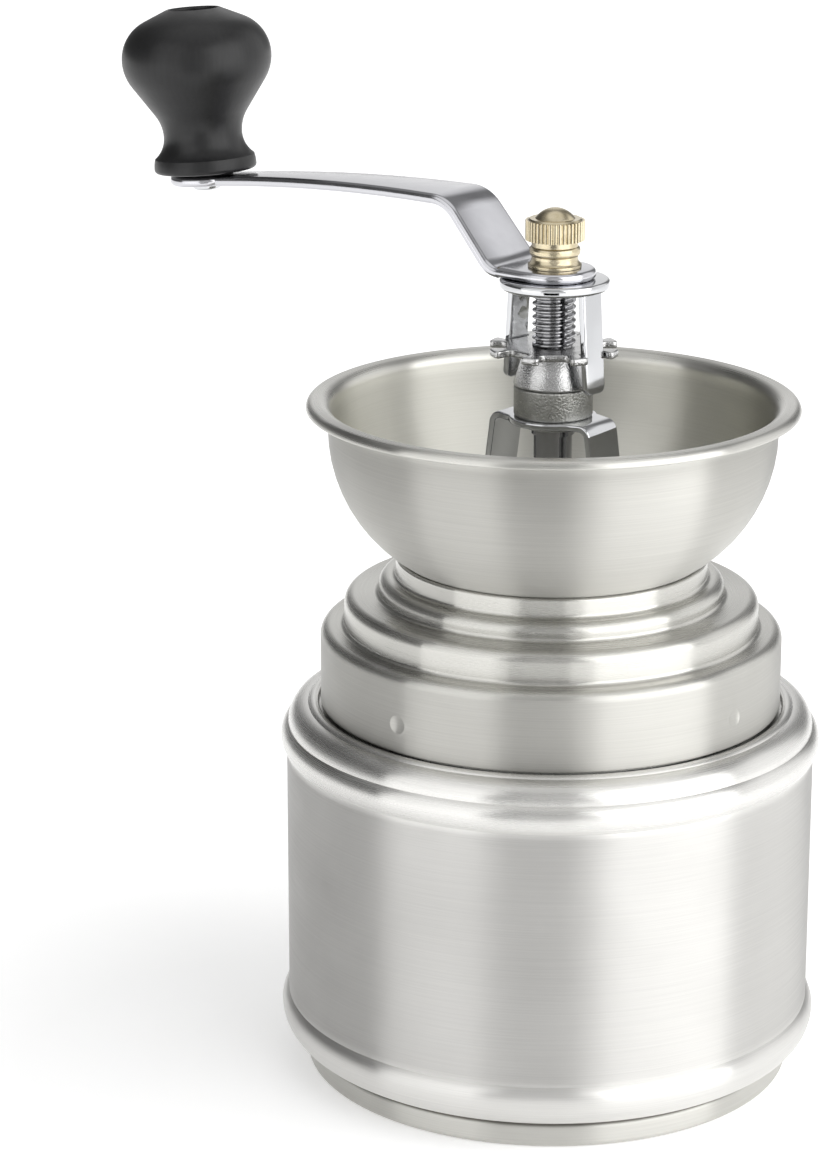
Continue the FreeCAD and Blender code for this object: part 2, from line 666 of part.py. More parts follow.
def hopper_bowl():
    """Spun bowl for the beans with a flared, rolled rim and an open floor."""
    outer_edge = bowl_centre + root(bowl_curve * bowl_curve - mill.bowl_depth * mill.bowl_depth)
    flare_z = bowl_middle + mill.bowl_upright
    flare_edge = mill.bowl_radius + mill.rim_flare
    rim_under = flare_z + mill.rim_flare
    rim_top = rim_under + mill.bowl_wall
    rim_radius = mill.bowl_radius + mill.rim_width
    roll_bottom = rim_top - mill.rim_roll
    body = new_body("hopper_bowl")
    revolve(body, "bowl_spinning", (
        (throat_radius, bowl_floor),
        (outer_edge, bowl_floor),
        (mill.bowl_radius, bowl_middle, bowl_curve),
        (mill.bowl_radius, flare_z),
        (flare_edge, rim_under, -mill.rim_flare),
        (rim_radius - mill.rim_roll, rim_under),
        (rim_radius - mill.bowl_wall, roll_bottom, -(mill.rim_roll - mill.bowl_wall)),
        (rim_radius, roll_bottom),
        (rim_radius - mill.rim_roll, rim_top, mill.rim_roll),
        (flare_edge, rim_top),
        (bowl_hollow, flare_z, mill.rim_flare + mill.bowl_wall),
        (bowl_hollow, bowl_middle),
        (floor_edge, bowl_inside, -inner_curve),
        (throat_radius, bowl_inside),
    ))
    bolt_holes(body, bowl_inside, mill.bowl_wall)
    piece(body, "hopper_bowl")


def guide_plate():
    """Spoked plate under the bowl: carries the outer burr and steadies the shaft."""
    outside = tier_three_radius - mill.collar_wall - mill.guide_clearance
    bore = mill.shaft_radius + mill.running_fit
    body = new_body("guide_plate")
    revolve(body, "guide_rim", (
        (mill.guide_opening, guide_bottom),
        (outside, guide_bottom),
        (outside, guide_top),
        (mill.guide_opening, guide_top),
    ))
    half = mill.spoke_width / 2
    reach = (mill.guide_opening + bolt_circle) / 2
    sketch = draw(new_sketch(body, "spoke_outline", "XY_Plane", guide_bottom), (
        (0, -half),
        (reach, -half),
        (reach, half),
        (0, half),
    ))
    spoke = pad(body, "spoke", sketch, mill.guide_thickness)
    polar(body, spoke, mill.spoke_count)
    revolve(body, "guide_hub", (
        (0, spring_top),
        (mill.guide_hub_radius, spring_top),
        (mill.guide_hub_radius, guide_top),
        (0, guide_top),
    ))
    sketch = ring(new_sketch(body, "guide_bore_outline", "XY_Plane", guide_top), bore)
    pocket(body, "guide_bore", sketch, mill.guide_thickness + mill.guide_hub_drop)
    bolt_holes(body, guide_top, mill.guide_thickness)
    piece(body, "guide_plate")


def bolt_holes(body, top, depth):
    """The pair of clearance holes for the clamp bolts, cut down from a face."""
    radius = mill.bolt_radius + mill.bolt_fit
    sketch = ring(new_sketch(body, "bolt_hole_outline", "XY_Plane", top), radius, bolt_circle)
    hole = pocket(body, "bolt_hole", sketch, depth)
    polar(body, hole, 2)


def outer_burr():
    """Fixed burr: a ring with a toothed conical bore, hung by two ears from the guide plate."""
    body = new_body("outer_burr")
    revolve(body, "burr_ring", (
        (mill.burr_exit_radius, burr_bottom),
        (mill.burr_ring_radius, burr_bottom),
        (mill.burr_ring_radius, guide_bottom),
        (mill.burr_entry_radius, guide_bottom),
        (mill.burr_neck_radius, burr_neck_z),
    ))
    half = mill.ear_width / 2
    root_x = (mill.burr_entry_radius + mill.burr_ring_radius) / 2
    tip_x = bolt_circle + half
    sketch = draw(new_sketch(body, "ear_outline", "XY_Plane", guide_bottom - mill.ear_height), (
        (root_x, -half),
        (bolt_circle, -half),
        (tip_x, 0, half),
        (bolt_circle, half, half),
        (root_x, half),
    ))
    ear = pad(body, "ear", sketch, mill.ear_height)
    polar(body, ear, 2)
    bolt_holes(body, guide_bottom, mill.ear_height + mill.bolt_end)
    sketch = draw(new_sketch(body, "outer_tooth_outline", "XZ_Plane"), (
        (mill.burr_exit_radius - mill.outer_tooth_depth, burr_bottom),
        (mill.burr_exit_radius + mill.outer_tooth_depth, burr_bottom),
        (mill.burr_neck_radius, burr_neck_z),
        (mill.burr_neck_radius - mill.outer_tooth_depth, burr_neck_z),
    ))
    tooth = pocket(body, "outer_tooth", sketch, mill.outer_tooth_width, symmetric=True)
    polar(body, tooth, mill.outer_tooth_count)
    piece(body, "outer_burr")


def inner_burr():
    """Turning burr: a toothed cone on the shaft with a slot for the cross pin."""
    slope = (mill.burr_exit_radius - mill.burr_neck_radius) / (burr_neck_z - burr_bottom)
    bottom = mill.burr_exit_radius - mill.burr_gap
    top = bottom - slope * mill.inner_burr_height
    bore = mill.shaft_radius + mill.stud_fit
    body = new_body("inner_burr")
    revolve(body, "burr_cone", (
        (bore, burr_bottom),
        (bottom - mill.burr_rim, burr_bottom),
        (bottom - slope * mill.burr_rim, burr_bottom + mill.burr_rim),
        (top, inner_burr_top),
        (bore, inner_burr_top),
    ))
    sketch = draw(new_sketch(body, "inner_tooth_outline", "XZ_Plane"), (
        (bottom, burr_bottom),
        (bottom + mill.inner_tooth_depth, burr_bottom),
        (top + mill.inner_tooth_depth, inner_burr_top),
        (top - mill.inner_tooth_depth, inner_burr_top),
    ))
    tooth = pocket(body, "inner_tooth", sketch, mill.inner_tooth_width, symmetric=True)
    polar(body, tooth, mill.inner_tooth_count)
    half = mill.drive_pin_radius + mill.drive_pin_fit
    reach = mill.drive_pin_half + mill.drive_pin_fit
    sketch = draw(new_sketch(body, "drive_slot_outline", "XY_Plane", inner_burr_top), (
        (-reach, -half),
        (reach, -half),
        (reach, half),
        (-reach, half),
    ))
    pocket(body, "drive_slot", sketch, mill.drive_slot_depth)
    place(body, turn=mill.yoke_angle)
    piece(body, "inner_burr")


def drive_shaft():
    """Vertical shaft: threaded end, plain length, journal, adjusting thread and flatted stud."""
    shoulder = burr_bottom + mill.end_shoulder
    journal_start = strap_bottom - mill.journal_drop
    stud_top = arm_top + mill.stud_length
    body = new_body("drive_shaft")
    revolve(body, "shaft_turning", (
        (0, shaft_bottom),
        (mill.end_radius, shaft_bottom),
        (mill.end_radius, shoulder),
        (mill.shaft_radius, shoulder),
        (mill.shaft_radius, journal_start),
        (mill.journal_radius, journal_start),
        (mill.journal_radius, yoke_bottom),
        (mill.stud_radius, yoke_bottom),
        (mill.stud_radius, stud_top),
        (0, stud_top),
    ))
    thread_start = nut_bottom
    mouth = mill.thread_pitch - mill.thread_crest
    outside = mill.journal_radius + mill.thread_crest
    groove = revolve(body, "thread_groove", (
        (outside, thread_start),
        (outside, thread_start + mouth),
        (mill.journal_radius - mill.thread_depth, thread_start + mouth / 2),
    ), kind="PartDesign::Groove")
    length = yoke_bottom - mill.thread_relief - thread_start - mill.thread_pitch
    turns = whole(length / mill.thread_pitch)
    thread = body.newObject("PartDesign::LinearPattern", "thread")
    thread.Originals = [groove]
    thread.Direction = (origin_part(body, "Z_Axis"), [""])
    bind(thread, "Occurrences", turns + 1)
    bind(thread, "Length", turns * mill.thread_pitch)
    body.Tip = thread
    doc.recompute()
    outer = mill.stud_radius * 2
    sketch = new_sketch(body, "stud_flats", "XY_Plane", arm_top)
    for near, far in ((mill.stud_flat, outer), (-outer, -mill.stud_flat)):
        draw(sketch, ((-outer, near), (outer, near), (outer, far), (-outer, far)))
    pocket(body, "stud_flat", sketch, mill.yoke_thickness + mill.arm_thickness)
    sketch = new_sketch(body, "cross_hole_outline", "YZ_Plane")
    cross_hole(sketch)
    pocket(body, "cross_hole", sketch, mill.drive_pin_half * 2, symmetric=True)
    place(body, turn=mill.yoke_angle)
    piece(body, "drive_shaft")


def cross_hole(sketch):
    radius = mill.drive_pin_radius + mill.drive_pin_fit
    centre = FreeCAD.Vector(0, drive_pin_z.value, 0)
    edge = sketch.addGeometry(Part.Circle(centre, FreeCAD.Vector(0, 0, 1), radius.value))
    sketch.addConstraint(Sketcher.Constraint("PointOnObject", edge, 3, -2))
    rule = sketch.addConstraint(Sketcher.Constraint("DistanceY", -1, 1, edge, 3, drive_pin_z.value))
    sketch.setExpression(f"Constraints[{rule}]", drive_pin_z.formula)
    rule = sketch.addConstraint(Sketcher.Constraint("Radius", edge, radius.value))
    sketch.setExpression(f"Constraints[{rule}]", radius.formula)


def drive_pin():
    """Cross pin that carries the shaft's turning into the inner burr."""
    body = new_body("drive_pin")
    sketch = new_sketch(body, "drive_pin_outline", "YZ_Plane")
    ring(sketch, mill.drive_pin_radius)
    pad(body, "drive_pin_bar", sketch, mill.drive_pin_half * 2, symmetric=True)
    place(body, height=drive_pin_z, turn=mill.yoke_angle)
    piece(body, "drive_pin")


def washer(label, bottom, thickness, bore, radius):
    return turned(label, (
        (bore, bottom),
        (radius, bottom),
        (radius, bottom + thickness),
        (bore, bottom + thickness),
    ))


def spring_washer():
    """Washer between the inner burr and the spring."""
    bore = mill.shaft_radius + mill.stud_fit
    thickness = mill.spring_washer_thickness
    washer("spring_washer", inner_burr_top, thickness, bore, mill.spring_washer_radius)


def burr_washer():
    """Washer between the inner burr and the nut on the shaft's end."""
    bore = mill.end_radius + mill.end_fit
    thickness = mill.end_washer_thickness
    washer("burr_washer", end_washer_bottom, thickness, bore, mill.end_washer_radius)


def burr_spring():
    """Compression spring that holds the inner burr down against the adjusting nut."""
    body = new_body("burr_spring")
    start = spring_bottom + mill.spring_wire_radius + mill.spring_seat
    end = spring_top - mill.spring_wire_radius - mill.spring_seat
    sketch = new_sketch(body, "wire_outline", "XZ_Plane")
    ring(sketch, mill.spring_wire_radius, mill.spring_coil_radius)
    coil = body.newObject("PartDesign::AdditiveHelix", "coil")
    coil.Profile = sketch
    coil.ReferenceAxis = (sketch, ["V_Axis"])
    coil.Mode = "height-turns-angle"
    bind(coil, "Height", end - start)
    bind(coil, "Turns", mill.spring_turns)
    place(body, height=start)
    piece(body, "burr_spring")


def burr_nut():
    """Hexagon nut on the lower end of the shaft."""
    corner = mill.end_nut_corner
    flat = corner * root(as_size(3)) / 2
    half = corner / 2
    body = new_body("burr_nut")
    sketch = draw(new_sketch(body, "hexagon", "XY_Plane", end_nut_bottom), (
        (corner, 0),
        (half, flat),
        (-half, flat),
        (-corner, 0),
        (-half, -flat),
        (half, -flat),
    ))
    ring(sketch, mill.end_radius + mill.end_fit)
    pad(body, "hexagon_bar", sketch, mill.end_nut_height)
    piece(body, "burr_nut")


def bridge():
    """Strap bridge across the bowl that carries the top bush, bolted down by its feet."""
    top_x = mill.bridge_reach
    bend = mill.bridge_bend
    tight = bend - mill.strap_thickness
    sheet = mill.strap_thickness
    foot_top = bowl_inside + sheet
    corner_z = bridge_top - bend
    body = new_body("bridge")
    sketch = draw(new_sketch(body, "strap_outline", "XZ_Plane"), (
        (foot_tip, bowl_inside),
        (foot_tip, foot_top),
        (leg_foot, foot_top),
        (top_x, corner_z),
        (top_x - bend, bridge_top, bend),
        (-(top_x - bend), bridge_top),
        (-top_x, corner_z, bend),
        (-leg_foot, foot_top),
        (-foot_tip, foot_top),
        (-foot_tip, bowl_inside),
        (-(leg_foot - sheet), bowl_inside),
        (-(top_x - sheet), corner_z),
        (-(top_x - bend), strap_bottom, -tight),
        (top_x - bend, strap_bottom),
        (top_x - sheet, corner_z, -tight),
        (leg_foot - sheet, bowl_inside),
    ))
    pad(body, "strap", sketch, mill.strap_width, symmetric=True)
    sketch = ring(new_sketch(body, "boss_outline", "XY_Plane", strap_bottom), mill.boss_radius)
    pad(body, "boss", sketch, mill.strap_thickness)
    hole = mill.spigot_radius + mill.press_gap
    sketch = ring(new_sketch(body, "bush_hole_outline", "XY_Plane", bridge_top), hole)
    pocket(body, "bush_hole", sketch, mill.strap_thickness)
    bolt_holes(body, foot_top, mill.strap_thickness)
    piece(body, "bridge")


def bridge_bush():
    """Cast bush riveted into the bridge: upper bearing of the shaft and rest of the nut."""
    bore = mill.journal_radius + mill.running_fit
    spigot_bottom = strap_bottom - mill.spigot_drop
    turned("bridge_bush", (
        (bore, spigot_bottom),
        (mill.spigot_radius, spigot_bottom),
        (mill.spigot_radius, bridge_top),
        (mill.bush_radius, bridge_top),
        (mill.bush_radius, bush_top - mill.bush_chamfer),
        (mill.bush_radius - mill.bush_chamfer, bush_top),
        (bore, bush_top),
    ))


def pair(label, body):
    """A turned piece moved out to the bolt circle, and its twin across the shaft."""
    bind(body, "Placement.Base.x", bolt_circle)
    twin = doc.addObject("Part::Mirroring", label + "_twin")
    twin.Source = body
    twin.Normal = FreeCAD.Vector(1, 0, 0)
    group = doc.addObject("Part::Compound", label)
    group.Links = [body, twin]
    piece(group, label)


def clamp_bolts():
    """Two slotted bolts that clamp bridge, bowl, guide plate and outer burr together."""
    seat = bowl_inside + mill.strap_thickness + mill.washer_thickness
    head_top = seat + mill.bolt_head_height
    end = guide_bottom - mill.ear_height - mill.bolt_end
    body = new_body("clamp_bolt")
    revolve(body, "bolt_turning", (
        (0, end),
        (mill.bolt_radius, end),
        (mill.bolt_radius, seat),
        (mill.bolt_head_radius, seat),
        (mill.bolt_head_radius, head_top),
        (0, head_top),
    ))
    half = mill.bolt_slot_width / 2
    reach = mill.bolt_head_radius * 2
    sketch = draw(new_sketch(body, "slot_outline", "XY_Plane", head_top), (
        (-reach, -half),
        (reach, -half),
        (reach, half),
        (-reach, half),
    ))
    pocket(body, "slot", sketch, mill.bolt_slot_depth)
    pair("clamp_bolts", body)


def lock_washers():
    """Washers under the two bolt heads."""
    bottom = bowl_inside + mill.strap_thickness
    bore = mill.bolt_radius + mill.bolt_fit
    body = new_body("lock_washer")
    revolve(body, "lock_washer_turning", (
        (bore, bottom),
        (mill.bolt_head_radius, bottom),
        (mill.bolt_head_radius, bottom + mill.washer_thickness),
        (bore, bottom + mill.washer_thickness),
    ))
    pair("lock_washers", body)


def adjusting_nut():
    """Grind setting nut: a notched disc on a cone that runs on the bush."""
    bore = mill.journal_radius + mill.running_fit
    body = new_body("adjusting_nut")
    revolve(body, "nut_turning", (
        (bore, nut_bottom),
        (mill.nut_cone_radius, nut_bottom),
        (mill.nut_cone_top, nut_middle),
        (mill.nut_disc_radius, nut_middle),
        (mill.nut_disc_radius, nut_top),
        (bore, nut_top),
    ))
    half = mill.notch_width / 2
    corner = mill.notch_round
    beyond = mill.nut_disc_radius + mill.notch_round
    sketch = draw(new_sketch(body, "notch_outline", "XY_Plane", nut_top), (
        (beyond, -half),
        (beyond, half),
        (mill.notch_floor + corner, half),
        (mill.notch_floor, half - corner, corner),
        (mill.notch_floor, -(half - corner)),
        (mill.notch_floor + corner, -half, corner),
    ))
    notch = pocket(body, "notch", sketch, mill.nut_disc_thickness)
    polar(body, notch, mill.notch_count)
    place(body, turn=mill.yoke_angle)
    piece(body, "adjusting_nut")


def lock_yoke():
    """Plate with two legs that reach into the nut's notches and keep the grind setting."""
    body = new_body("lock_yoke")
    sketch = ring(new_sketch(body, "yoke_plate_outline", "XY_Plane", yoke_bottom), mill.yoke_radius)
    pad(body, "yoke_plate", sketch, mill.yoke_thickness)
    half = mill.yoke_leg_width / 2
    corner = mill.yoke_leg_round
    foot = nut_top - mill.yoke_leg_drop
    inner_face = mill.yoke_radius - mill.yoke_thickness
    sketch = draw(new_sketch(body, "yoke_leg_outline", "YZ_Plane", inner_face), (
        (half - corner, foot),
        (half, foot + corner, corner),
        (half, arm_bottom),
        (-half, arm_bottom),
        (-half, foot + corner),
        (-(half - corner), foot, corner),
    ))
    leg = pad(body, "yoke_leg", sketch, mill.yoke_thickness)
    polar(body, leg, 2)
    sketch = draw(new_sketch(body, "yoke_hole_outline", "XY_Plane", arm_bottom), flatted_hole())
    pocket(body, "yoke_hole", sketch, mill.yoke_thickness)
    place(body, turn=mill.yoke_angle)
    piece(body, "lock_yoke")


def flatted_hole():
    """Outline of the hole that fits the stud: two arcs and two flats."""
    radius = mill.stud_radius + mill.stud_fit
    flat = mill.stud_flat + mill.stud_fit
    reach = root(radius * radius - flat * flat)
    return (
        (reach, -flat),
        (reach, flat, radius),
        (-reach, flat),
        (-reach, -flat, radius),
    )


def arm_strap():
    """Side view of the arm drawn along +X: flat hub, cranked rise, gentle arch, straight eye."""
    sheet = mill.arm_thickness
    lean_x = sheet * arm_rise
    lean_z = sheet * arm_level
    under_x = eye_x - sheet * arm_fall
    under_z = eye_z - sheet * arm_along
    beyond = mill.eye_radius * 2 + sheet
    end_x = eye_x + beyond * eye_along
    end_z = eye_z - beyond * eye_fall
    back = -(mill.arm_hub_radius + sheet)
    body = new_body("arm_strap")
    sketch = draw(new_sketch(body, "arm_side", "XZ_Plane"), (
        (back, arm_bottom),
        (mill.arm_flat, arm_bottom),
        (ramp_x + lean_x, ramp_z - lean_z, mill.arm_low_bend + sheet),
        (crest_x + lean_x, crest_z - lean_z),
        (arch_x, arch_z - sheet, -(mill.arm_high_bend - sheet)),
        (under_x, under_z, -(arch_radius - sheet)),
        (end_x - sheet * eye_fall, end_z - sheet * eye_along),
        (end_x, end_z),
        (eye_x, eye_z),
        (arch_x, arch_z, arch_radius),
        (crest_x, crest_z, mill.arm_high_bend),
        (ramp_x, ramp_z),
        (mill.arm_flat, arm_top, -mill.arm_low_bend),
        (back, arm_top),
    ))
    pad(body, "arm_sheet", sketch, mill.arm_hub_radius * 4, symmetric=True)
    return body


def arm_plan():
    """Top view of the arm: round hub, tapering sides and a round eye."""
    half_wide = mill.arm_wide / 2
    half_narrow = mill.arm_narrow / 2
    waist_x = pin_x - root(mill.eye_radius * mill.eye_radius - half_narrow * half_narrow)
    hub = mill.arm_hub_radius
    body = new_body("arm_plan")
    sketch = draw(new_sketch(body, "arm_top_view", "XY_Plane", yoke_bottom), (
        (0, hub),
        (-hub, 0, hub),
        (0, -hub, hub),
        (arch_x, -half_wide),
        (waist_x, -half_narrow),
        (pin_x + mill.eye_radius, 0, mill.eye_radius),
        (waist_x, half_narrow, mill.eye_radius),
        (arch_x, half_wide),
    ))
    pad(body, "arm_blank", sketch, arch_z - yoke_bottom + mill.arm_thickness)
    return body


def crank_arm():
    """Cranked steel strap from the shaft's stud to the knob's pin."""
    blank = doc.addObject("Part::Common", "arm_pressing")
    blank.Base = arm_strap()
    blank.Tool = arm_plan()
    hub_tool = new_body("arm_hub_hole")
    sketch = draw(new_sketch(hub_tool, "arm_hole_outline", "XY_Plane", yoke_bottom), flatted_hole())
    pad(hub_tool, "arm_hole_bar", sketch, mill.yoke_thickness + mill.arm_thickness * 2)
    place(hub_tool, turn=mill.yoke_angle)
    eye_tool = doc.addObject("Part::Cylinder", "arm_eye_hole")
    bind(eye_tool, "Radius", mill.pin_radius + mill.pin_fit)
    bind(eye_tool, "Height", mill.arm_thickness * 3)
    stand_on_eye(eye_tool, -(mill.arm_thickness * 2), outward=1)
    drilled = doc.addObject("Part::Cut", "arm_drilled")
    drilled.Base = blank
    drilled.Tool = eye_tool
    drilled.Placement = FreeCAD.Placement(FreeCAD.Vector(), FreeCAD.Rotation(FreeCAD.Vector(0, 0, 1), 180))
    arm = doc.addObject("Part::Cut", "crank_arm")
    arm.Base = drilled
    arm.Tool = hub_tool
    doc.recompute()
    piece(arm, "crank_arm")


def stand_on_eye(item, lift, outward=-1):
    """Place a piece square to the arm's eye, lift above its upper face, along +X or -X."""
    lift = as_size(lift)
    out = pin_x + lift * eye_fall
    item.Placement = FreeCAD.Placement(FreeCAD.Vector(), FreeCAD.Rotation(FreeCAD.Vector(0, outward, 0), 1))
    bind(item, "Placement.Rotation.Angle", mill.eye_droop)
    bind(item, "Placement.Base.x", out * outward)
    bind(item, "Placement.Base.z", pin_z + lift * eye_along)
    return item


def knob():
    """Turned wooden knob that spins on its pin, with a recess over the pin's head."""
    bore = mill.pin_radius + mill.knob_fit
    base = mill.knob_base_radius
    base_z = knob_foot + mill.knob_base_round
    edge_z = base_z + mill.knob_base_rise
    edge_radius = base - mill.knob_base_taper
    foot_hollow = sagging_arc(edge_radius - mill.knob_neck_radius, knob_neck - edge_z)
    body = turned("knob", (
        (bore, knob_foot),
        (base - mill.knob_base_round, knob_foot),
        (base, base_z, mill.knob_base_round),
        (edge_radius, edge_z, sagging_arc(mill.knob_base_taper, mill.knob_base_rise)),
        (mill.knob_neck_radius, knob_neck, -foot_hollow),
        (side_radius, knob_side_start, -mill.knob_waist_curve),
        (bulge_radius, knob_side_end),
        (widest_radius, knob_widest, mill.knob_shoulder_curve),
        (crown_start, crown_start_z, mill.knob_crown_curve),
        (crown_radius, knob_crown),
        (mill.recess_radius, knob_crown - mill.recess_round, mill.recess_round),
        (mill.recess_radius, recess_floor),
        (bore, recess_floor),
    ))
    stand_on_eye(body, 0)


def knob_pin():
    """Rivet that holds the knob: upset under the arm, headed inside the knob's recess."""
    head_z = recess_floor + mill.pin_head_play
    head_top = head_z + mill.pin_head_height
    arm_under = -mill.arm_thickness
    tail = arm_under - mill.pin_tail_height
    body = turned("knob_pin", (
        (0, tail),
        (mill.pin_tail_radius, tail),
        (mill.pin_tail_radius, arm_under),
        (mill.pin_radius, arm_under),
        (mill.pin_radius, head_z),
        (mill.pin_head_radius, head_z),
        (mill.pin_head_radius, head_top),
        (0, head_top),
    ))
    stand_on_eye(body, 0)


def knob_washer():
    """Thin washer between the arm's eye and the knob."""
    bore = mill.pin_radius + mill.knob_fit
    body = washer("knob_washer", as_size(0), mill.knob_washer_thickness, bore, mill.knob_washer_radius)
    stand_on_eye(body, 0)


def cap_nut():
    """Brass cap nut with a waisted foot, a knurled band and a domed top."""
    bore = mill.stud_radius + mill.stud_fit
    flange_top = arm_top + mill.cap_flange_height
    waist_z = arm_top + mill.cap_waist_height
    flange_hollow = sagging_arc(mill.cap_flange_radius - mill.cap_waist_radius, waist_z - flange_top)
    bead_z = arm_top + mill.cap_bead_height
    neck = arm_top + mill.cap_neck_height
    band_bottom = arm_top + mill.cap_band_bottom
    band_top = band_bottom + mill.cap_band_height
    chamfer = mill.cap_band_chamfer
    dome_top = band_top + mill.cap_dome_height
    dome_round = (mill.cap_dome_radius * mill.cap_dome_radius + mill.cap_dome_height * mill.cap_dome_height)
    dome_round = dome_round / (mill.cap_dome_height * 2)
    turned("cap_nut", (
        (bore, arm_top),
        (mill.cap_flange_radius, arm_top),
        (mill.cap_flange_radius, flange_top),
        (mill.cap_waist_radius, waist_z, -flange_hollow),
        (mill.cap_bead_radius, bead_z),
        (mill.cap_waist_radius, neck),
        (mill.cap_waist_radius, band_bottom),
        (mill.cap_band_radius - chamfer, band_bottom),
        (mill.cap_band_radius, band_bottom + chamfer),
        (mill.cap_band_radius, band_top - chamfer),
        (mill.cap_band_radius - chamfer, band_top),
        (mill.cap_dome_radius, band_top),
        (0, dome_top, dome_round),
        (0, arm_top + mill.cap_bore_depth),
        (bore, arm_top + mill.cap_bore_depth),
    ))


def build():
    base_pan()
    canister()
    stepped_collar()
    locating_ring()
    hopper_bowl()
    guide_plate()
    outer_burr()
    inner_burr()
    drive_shaft()
    drive_pin()
    spring_washer()
    burr_spring()
    burr_washer()
    burr_nut()
    bridge()
    bridge_bush()
    clamp_bolts()
    lock_washers()
    adjusting_nut()
    lock_yoke()
    crank_arm()
    knob_pin()
    knob_washer()
    knob()
    cap_nut()
    doc.recompute()


def check():
    for item in doc.Objects:
        if "Invalid" in item.State or "Error" in item.State:
            raise RuntimeError(item.Name + " failed")
    for item in pieces:
        if item.Shape.isNull() or not item.Shape.isValid():
            raise RuntimeError(item.Label + " has no sound shape")


def write():
    os.makedirs("parts", exist_ok=True)
    for item in pieces:
        item.Shape.exportStep(f"parts/{item.Label}.step")
        print(item.Label, len(item.Shape.Solids), round(item.Shape.Volume, 1))


build()
check()
write()
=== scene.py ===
# %% [markdown]
# # A hand crank coffee grinder
# A spun steel jar catches the grounds. On it sits a stepped collar with an open bowl for the beans.
# A bridge across the bowl carries the shaft, the notched setting nut, the lock yoke and the arm.
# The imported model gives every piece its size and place. This lesson dresses it: smooth spun
# metal, a real screw thread, a knurled brass nut, a lacquered knob, and light to see them by.

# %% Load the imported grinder
import json
import math

import bmesh
import bpy
from mathutils import Matrix, Vector


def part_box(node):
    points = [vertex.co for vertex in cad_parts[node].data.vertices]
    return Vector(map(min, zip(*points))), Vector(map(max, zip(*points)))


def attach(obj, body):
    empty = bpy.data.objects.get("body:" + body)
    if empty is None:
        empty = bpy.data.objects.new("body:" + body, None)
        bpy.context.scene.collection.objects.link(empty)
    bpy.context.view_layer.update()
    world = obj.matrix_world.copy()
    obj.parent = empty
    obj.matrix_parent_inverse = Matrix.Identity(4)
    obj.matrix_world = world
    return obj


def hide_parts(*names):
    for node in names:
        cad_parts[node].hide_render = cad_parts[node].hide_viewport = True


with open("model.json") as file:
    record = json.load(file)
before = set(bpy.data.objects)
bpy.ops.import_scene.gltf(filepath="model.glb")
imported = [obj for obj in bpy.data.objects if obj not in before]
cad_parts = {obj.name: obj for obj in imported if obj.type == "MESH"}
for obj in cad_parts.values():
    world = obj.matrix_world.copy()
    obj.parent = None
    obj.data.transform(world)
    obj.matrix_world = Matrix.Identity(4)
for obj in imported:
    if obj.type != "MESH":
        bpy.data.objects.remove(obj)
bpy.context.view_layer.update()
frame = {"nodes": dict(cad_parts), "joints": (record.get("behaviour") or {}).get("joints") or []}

MM = 0.001
nodes = frame["nodes"]

# %% [markdown]
# ## The camera
# The photograph looks down at the grinder from its front right, with a long lens. A camera could be
# moved about by eye until the picture fits. Here its place was worked out from the ellipses of the
# rims instead, which gives a distance, a height and two angles that can simply be typed in.

# %% Camera
PHOTO_TURN = math.radians(36.0)
CAMERA_DISTANCE = 0.64755
CAMERA_HEIGHT = 0.28691
CAMERA_YAW = math.radians(-2.25477)
CAMERA_PITCH = math.radians(16.65184)
LENS_MM = 114.1


def around(turn, distance, height):
    """A point near the grinder, turned from the camera's side towards the picture's right."""
    angle = PHOTO_TURN + turn
    return Vector((distance * math.sin(angle), -distance * math.cos(angle), height))


def put(name, data):
    """A new object in the scene, with that mesh, lamp or camera."""
    thing = bpy.data.objects.new(name, data)
    bpy.context.scene.collection.objects.link(thing)
    return thing


camera = put("camera", bpy.data.cameras.new("camera"))
bpy.context.scene.camera = camera
camera.data.lens = LENS_MM
camera.location = around(0.0, CAMERA_DISTANCE, CAMERA_HEIGHT)
ahead = -around(-CAMERA_YAW, math.cos(CAMERA_PITCH), 0.0)
ahead.z = -math.sin(CAMERA_PITCH)
camera.rotation_mode = "QUATERNION"
camera.rotation_quaternion = ahead.to_track_quat("-Z", "Y")
bpy.context.scene.view_settings.view_transform = "Standard"
print("camera at", [round(x, 3) for x in camera.location])

# %% [markdown]
# ## A few helpers
# Colours are given as sRGB hex values, but shaders mix linear light, so one function
# turns one into the other. A second function adds any node, with its settings and its links, and
# serves the shaders and the geometry trees alike. Nodes could be placed by hand in the editor, but
# a script shows every number and builds the same tree each time. Two more start an empty material
# and set the greys of a colour ramp.

# %% Colour and node helpers
MATH = "ShaderNodeMath"
RANGE = "ShaderNodeMapRange"


def linear(hex_colour):
    """An sRGB hex colour as linear red, green, blue and alpha."""
    channels = [int(hex_colour[start:start + 2], 16) / 255 for start in (1, 3, 5)]
    light = [c / 12.92 if c <= 0.04045 else ((c + 0.055) / 1.055) ** 2.4 for c in channels]
    return (*light, 1.0)


def add(tree, kind, inputs=None, **settings):
    """Add one node. An input is a plain value, another node's output, or a node for its first output."""
    node = tree.nodes.new(kind)
    for name, value in settings.items():
        setattr(node, name, value)
    for key, value in (inputs or {}).items():
        if isinstance(value, bpy.types.Node):
            value = value.outputs[0]
        if isinstance(value, bpy.types.NodeSocket):
            tree.links.new(value, node.inputs[key])
        else:
            node.inputs[key].default_value = value
    return node


def new_material(name):
    """An empty material and its tree."""
    material = bpy.data.materials.new(name)
    material.use_nodes = True
    material.node_tree.nodes.clear()
    return material, material.node_tree


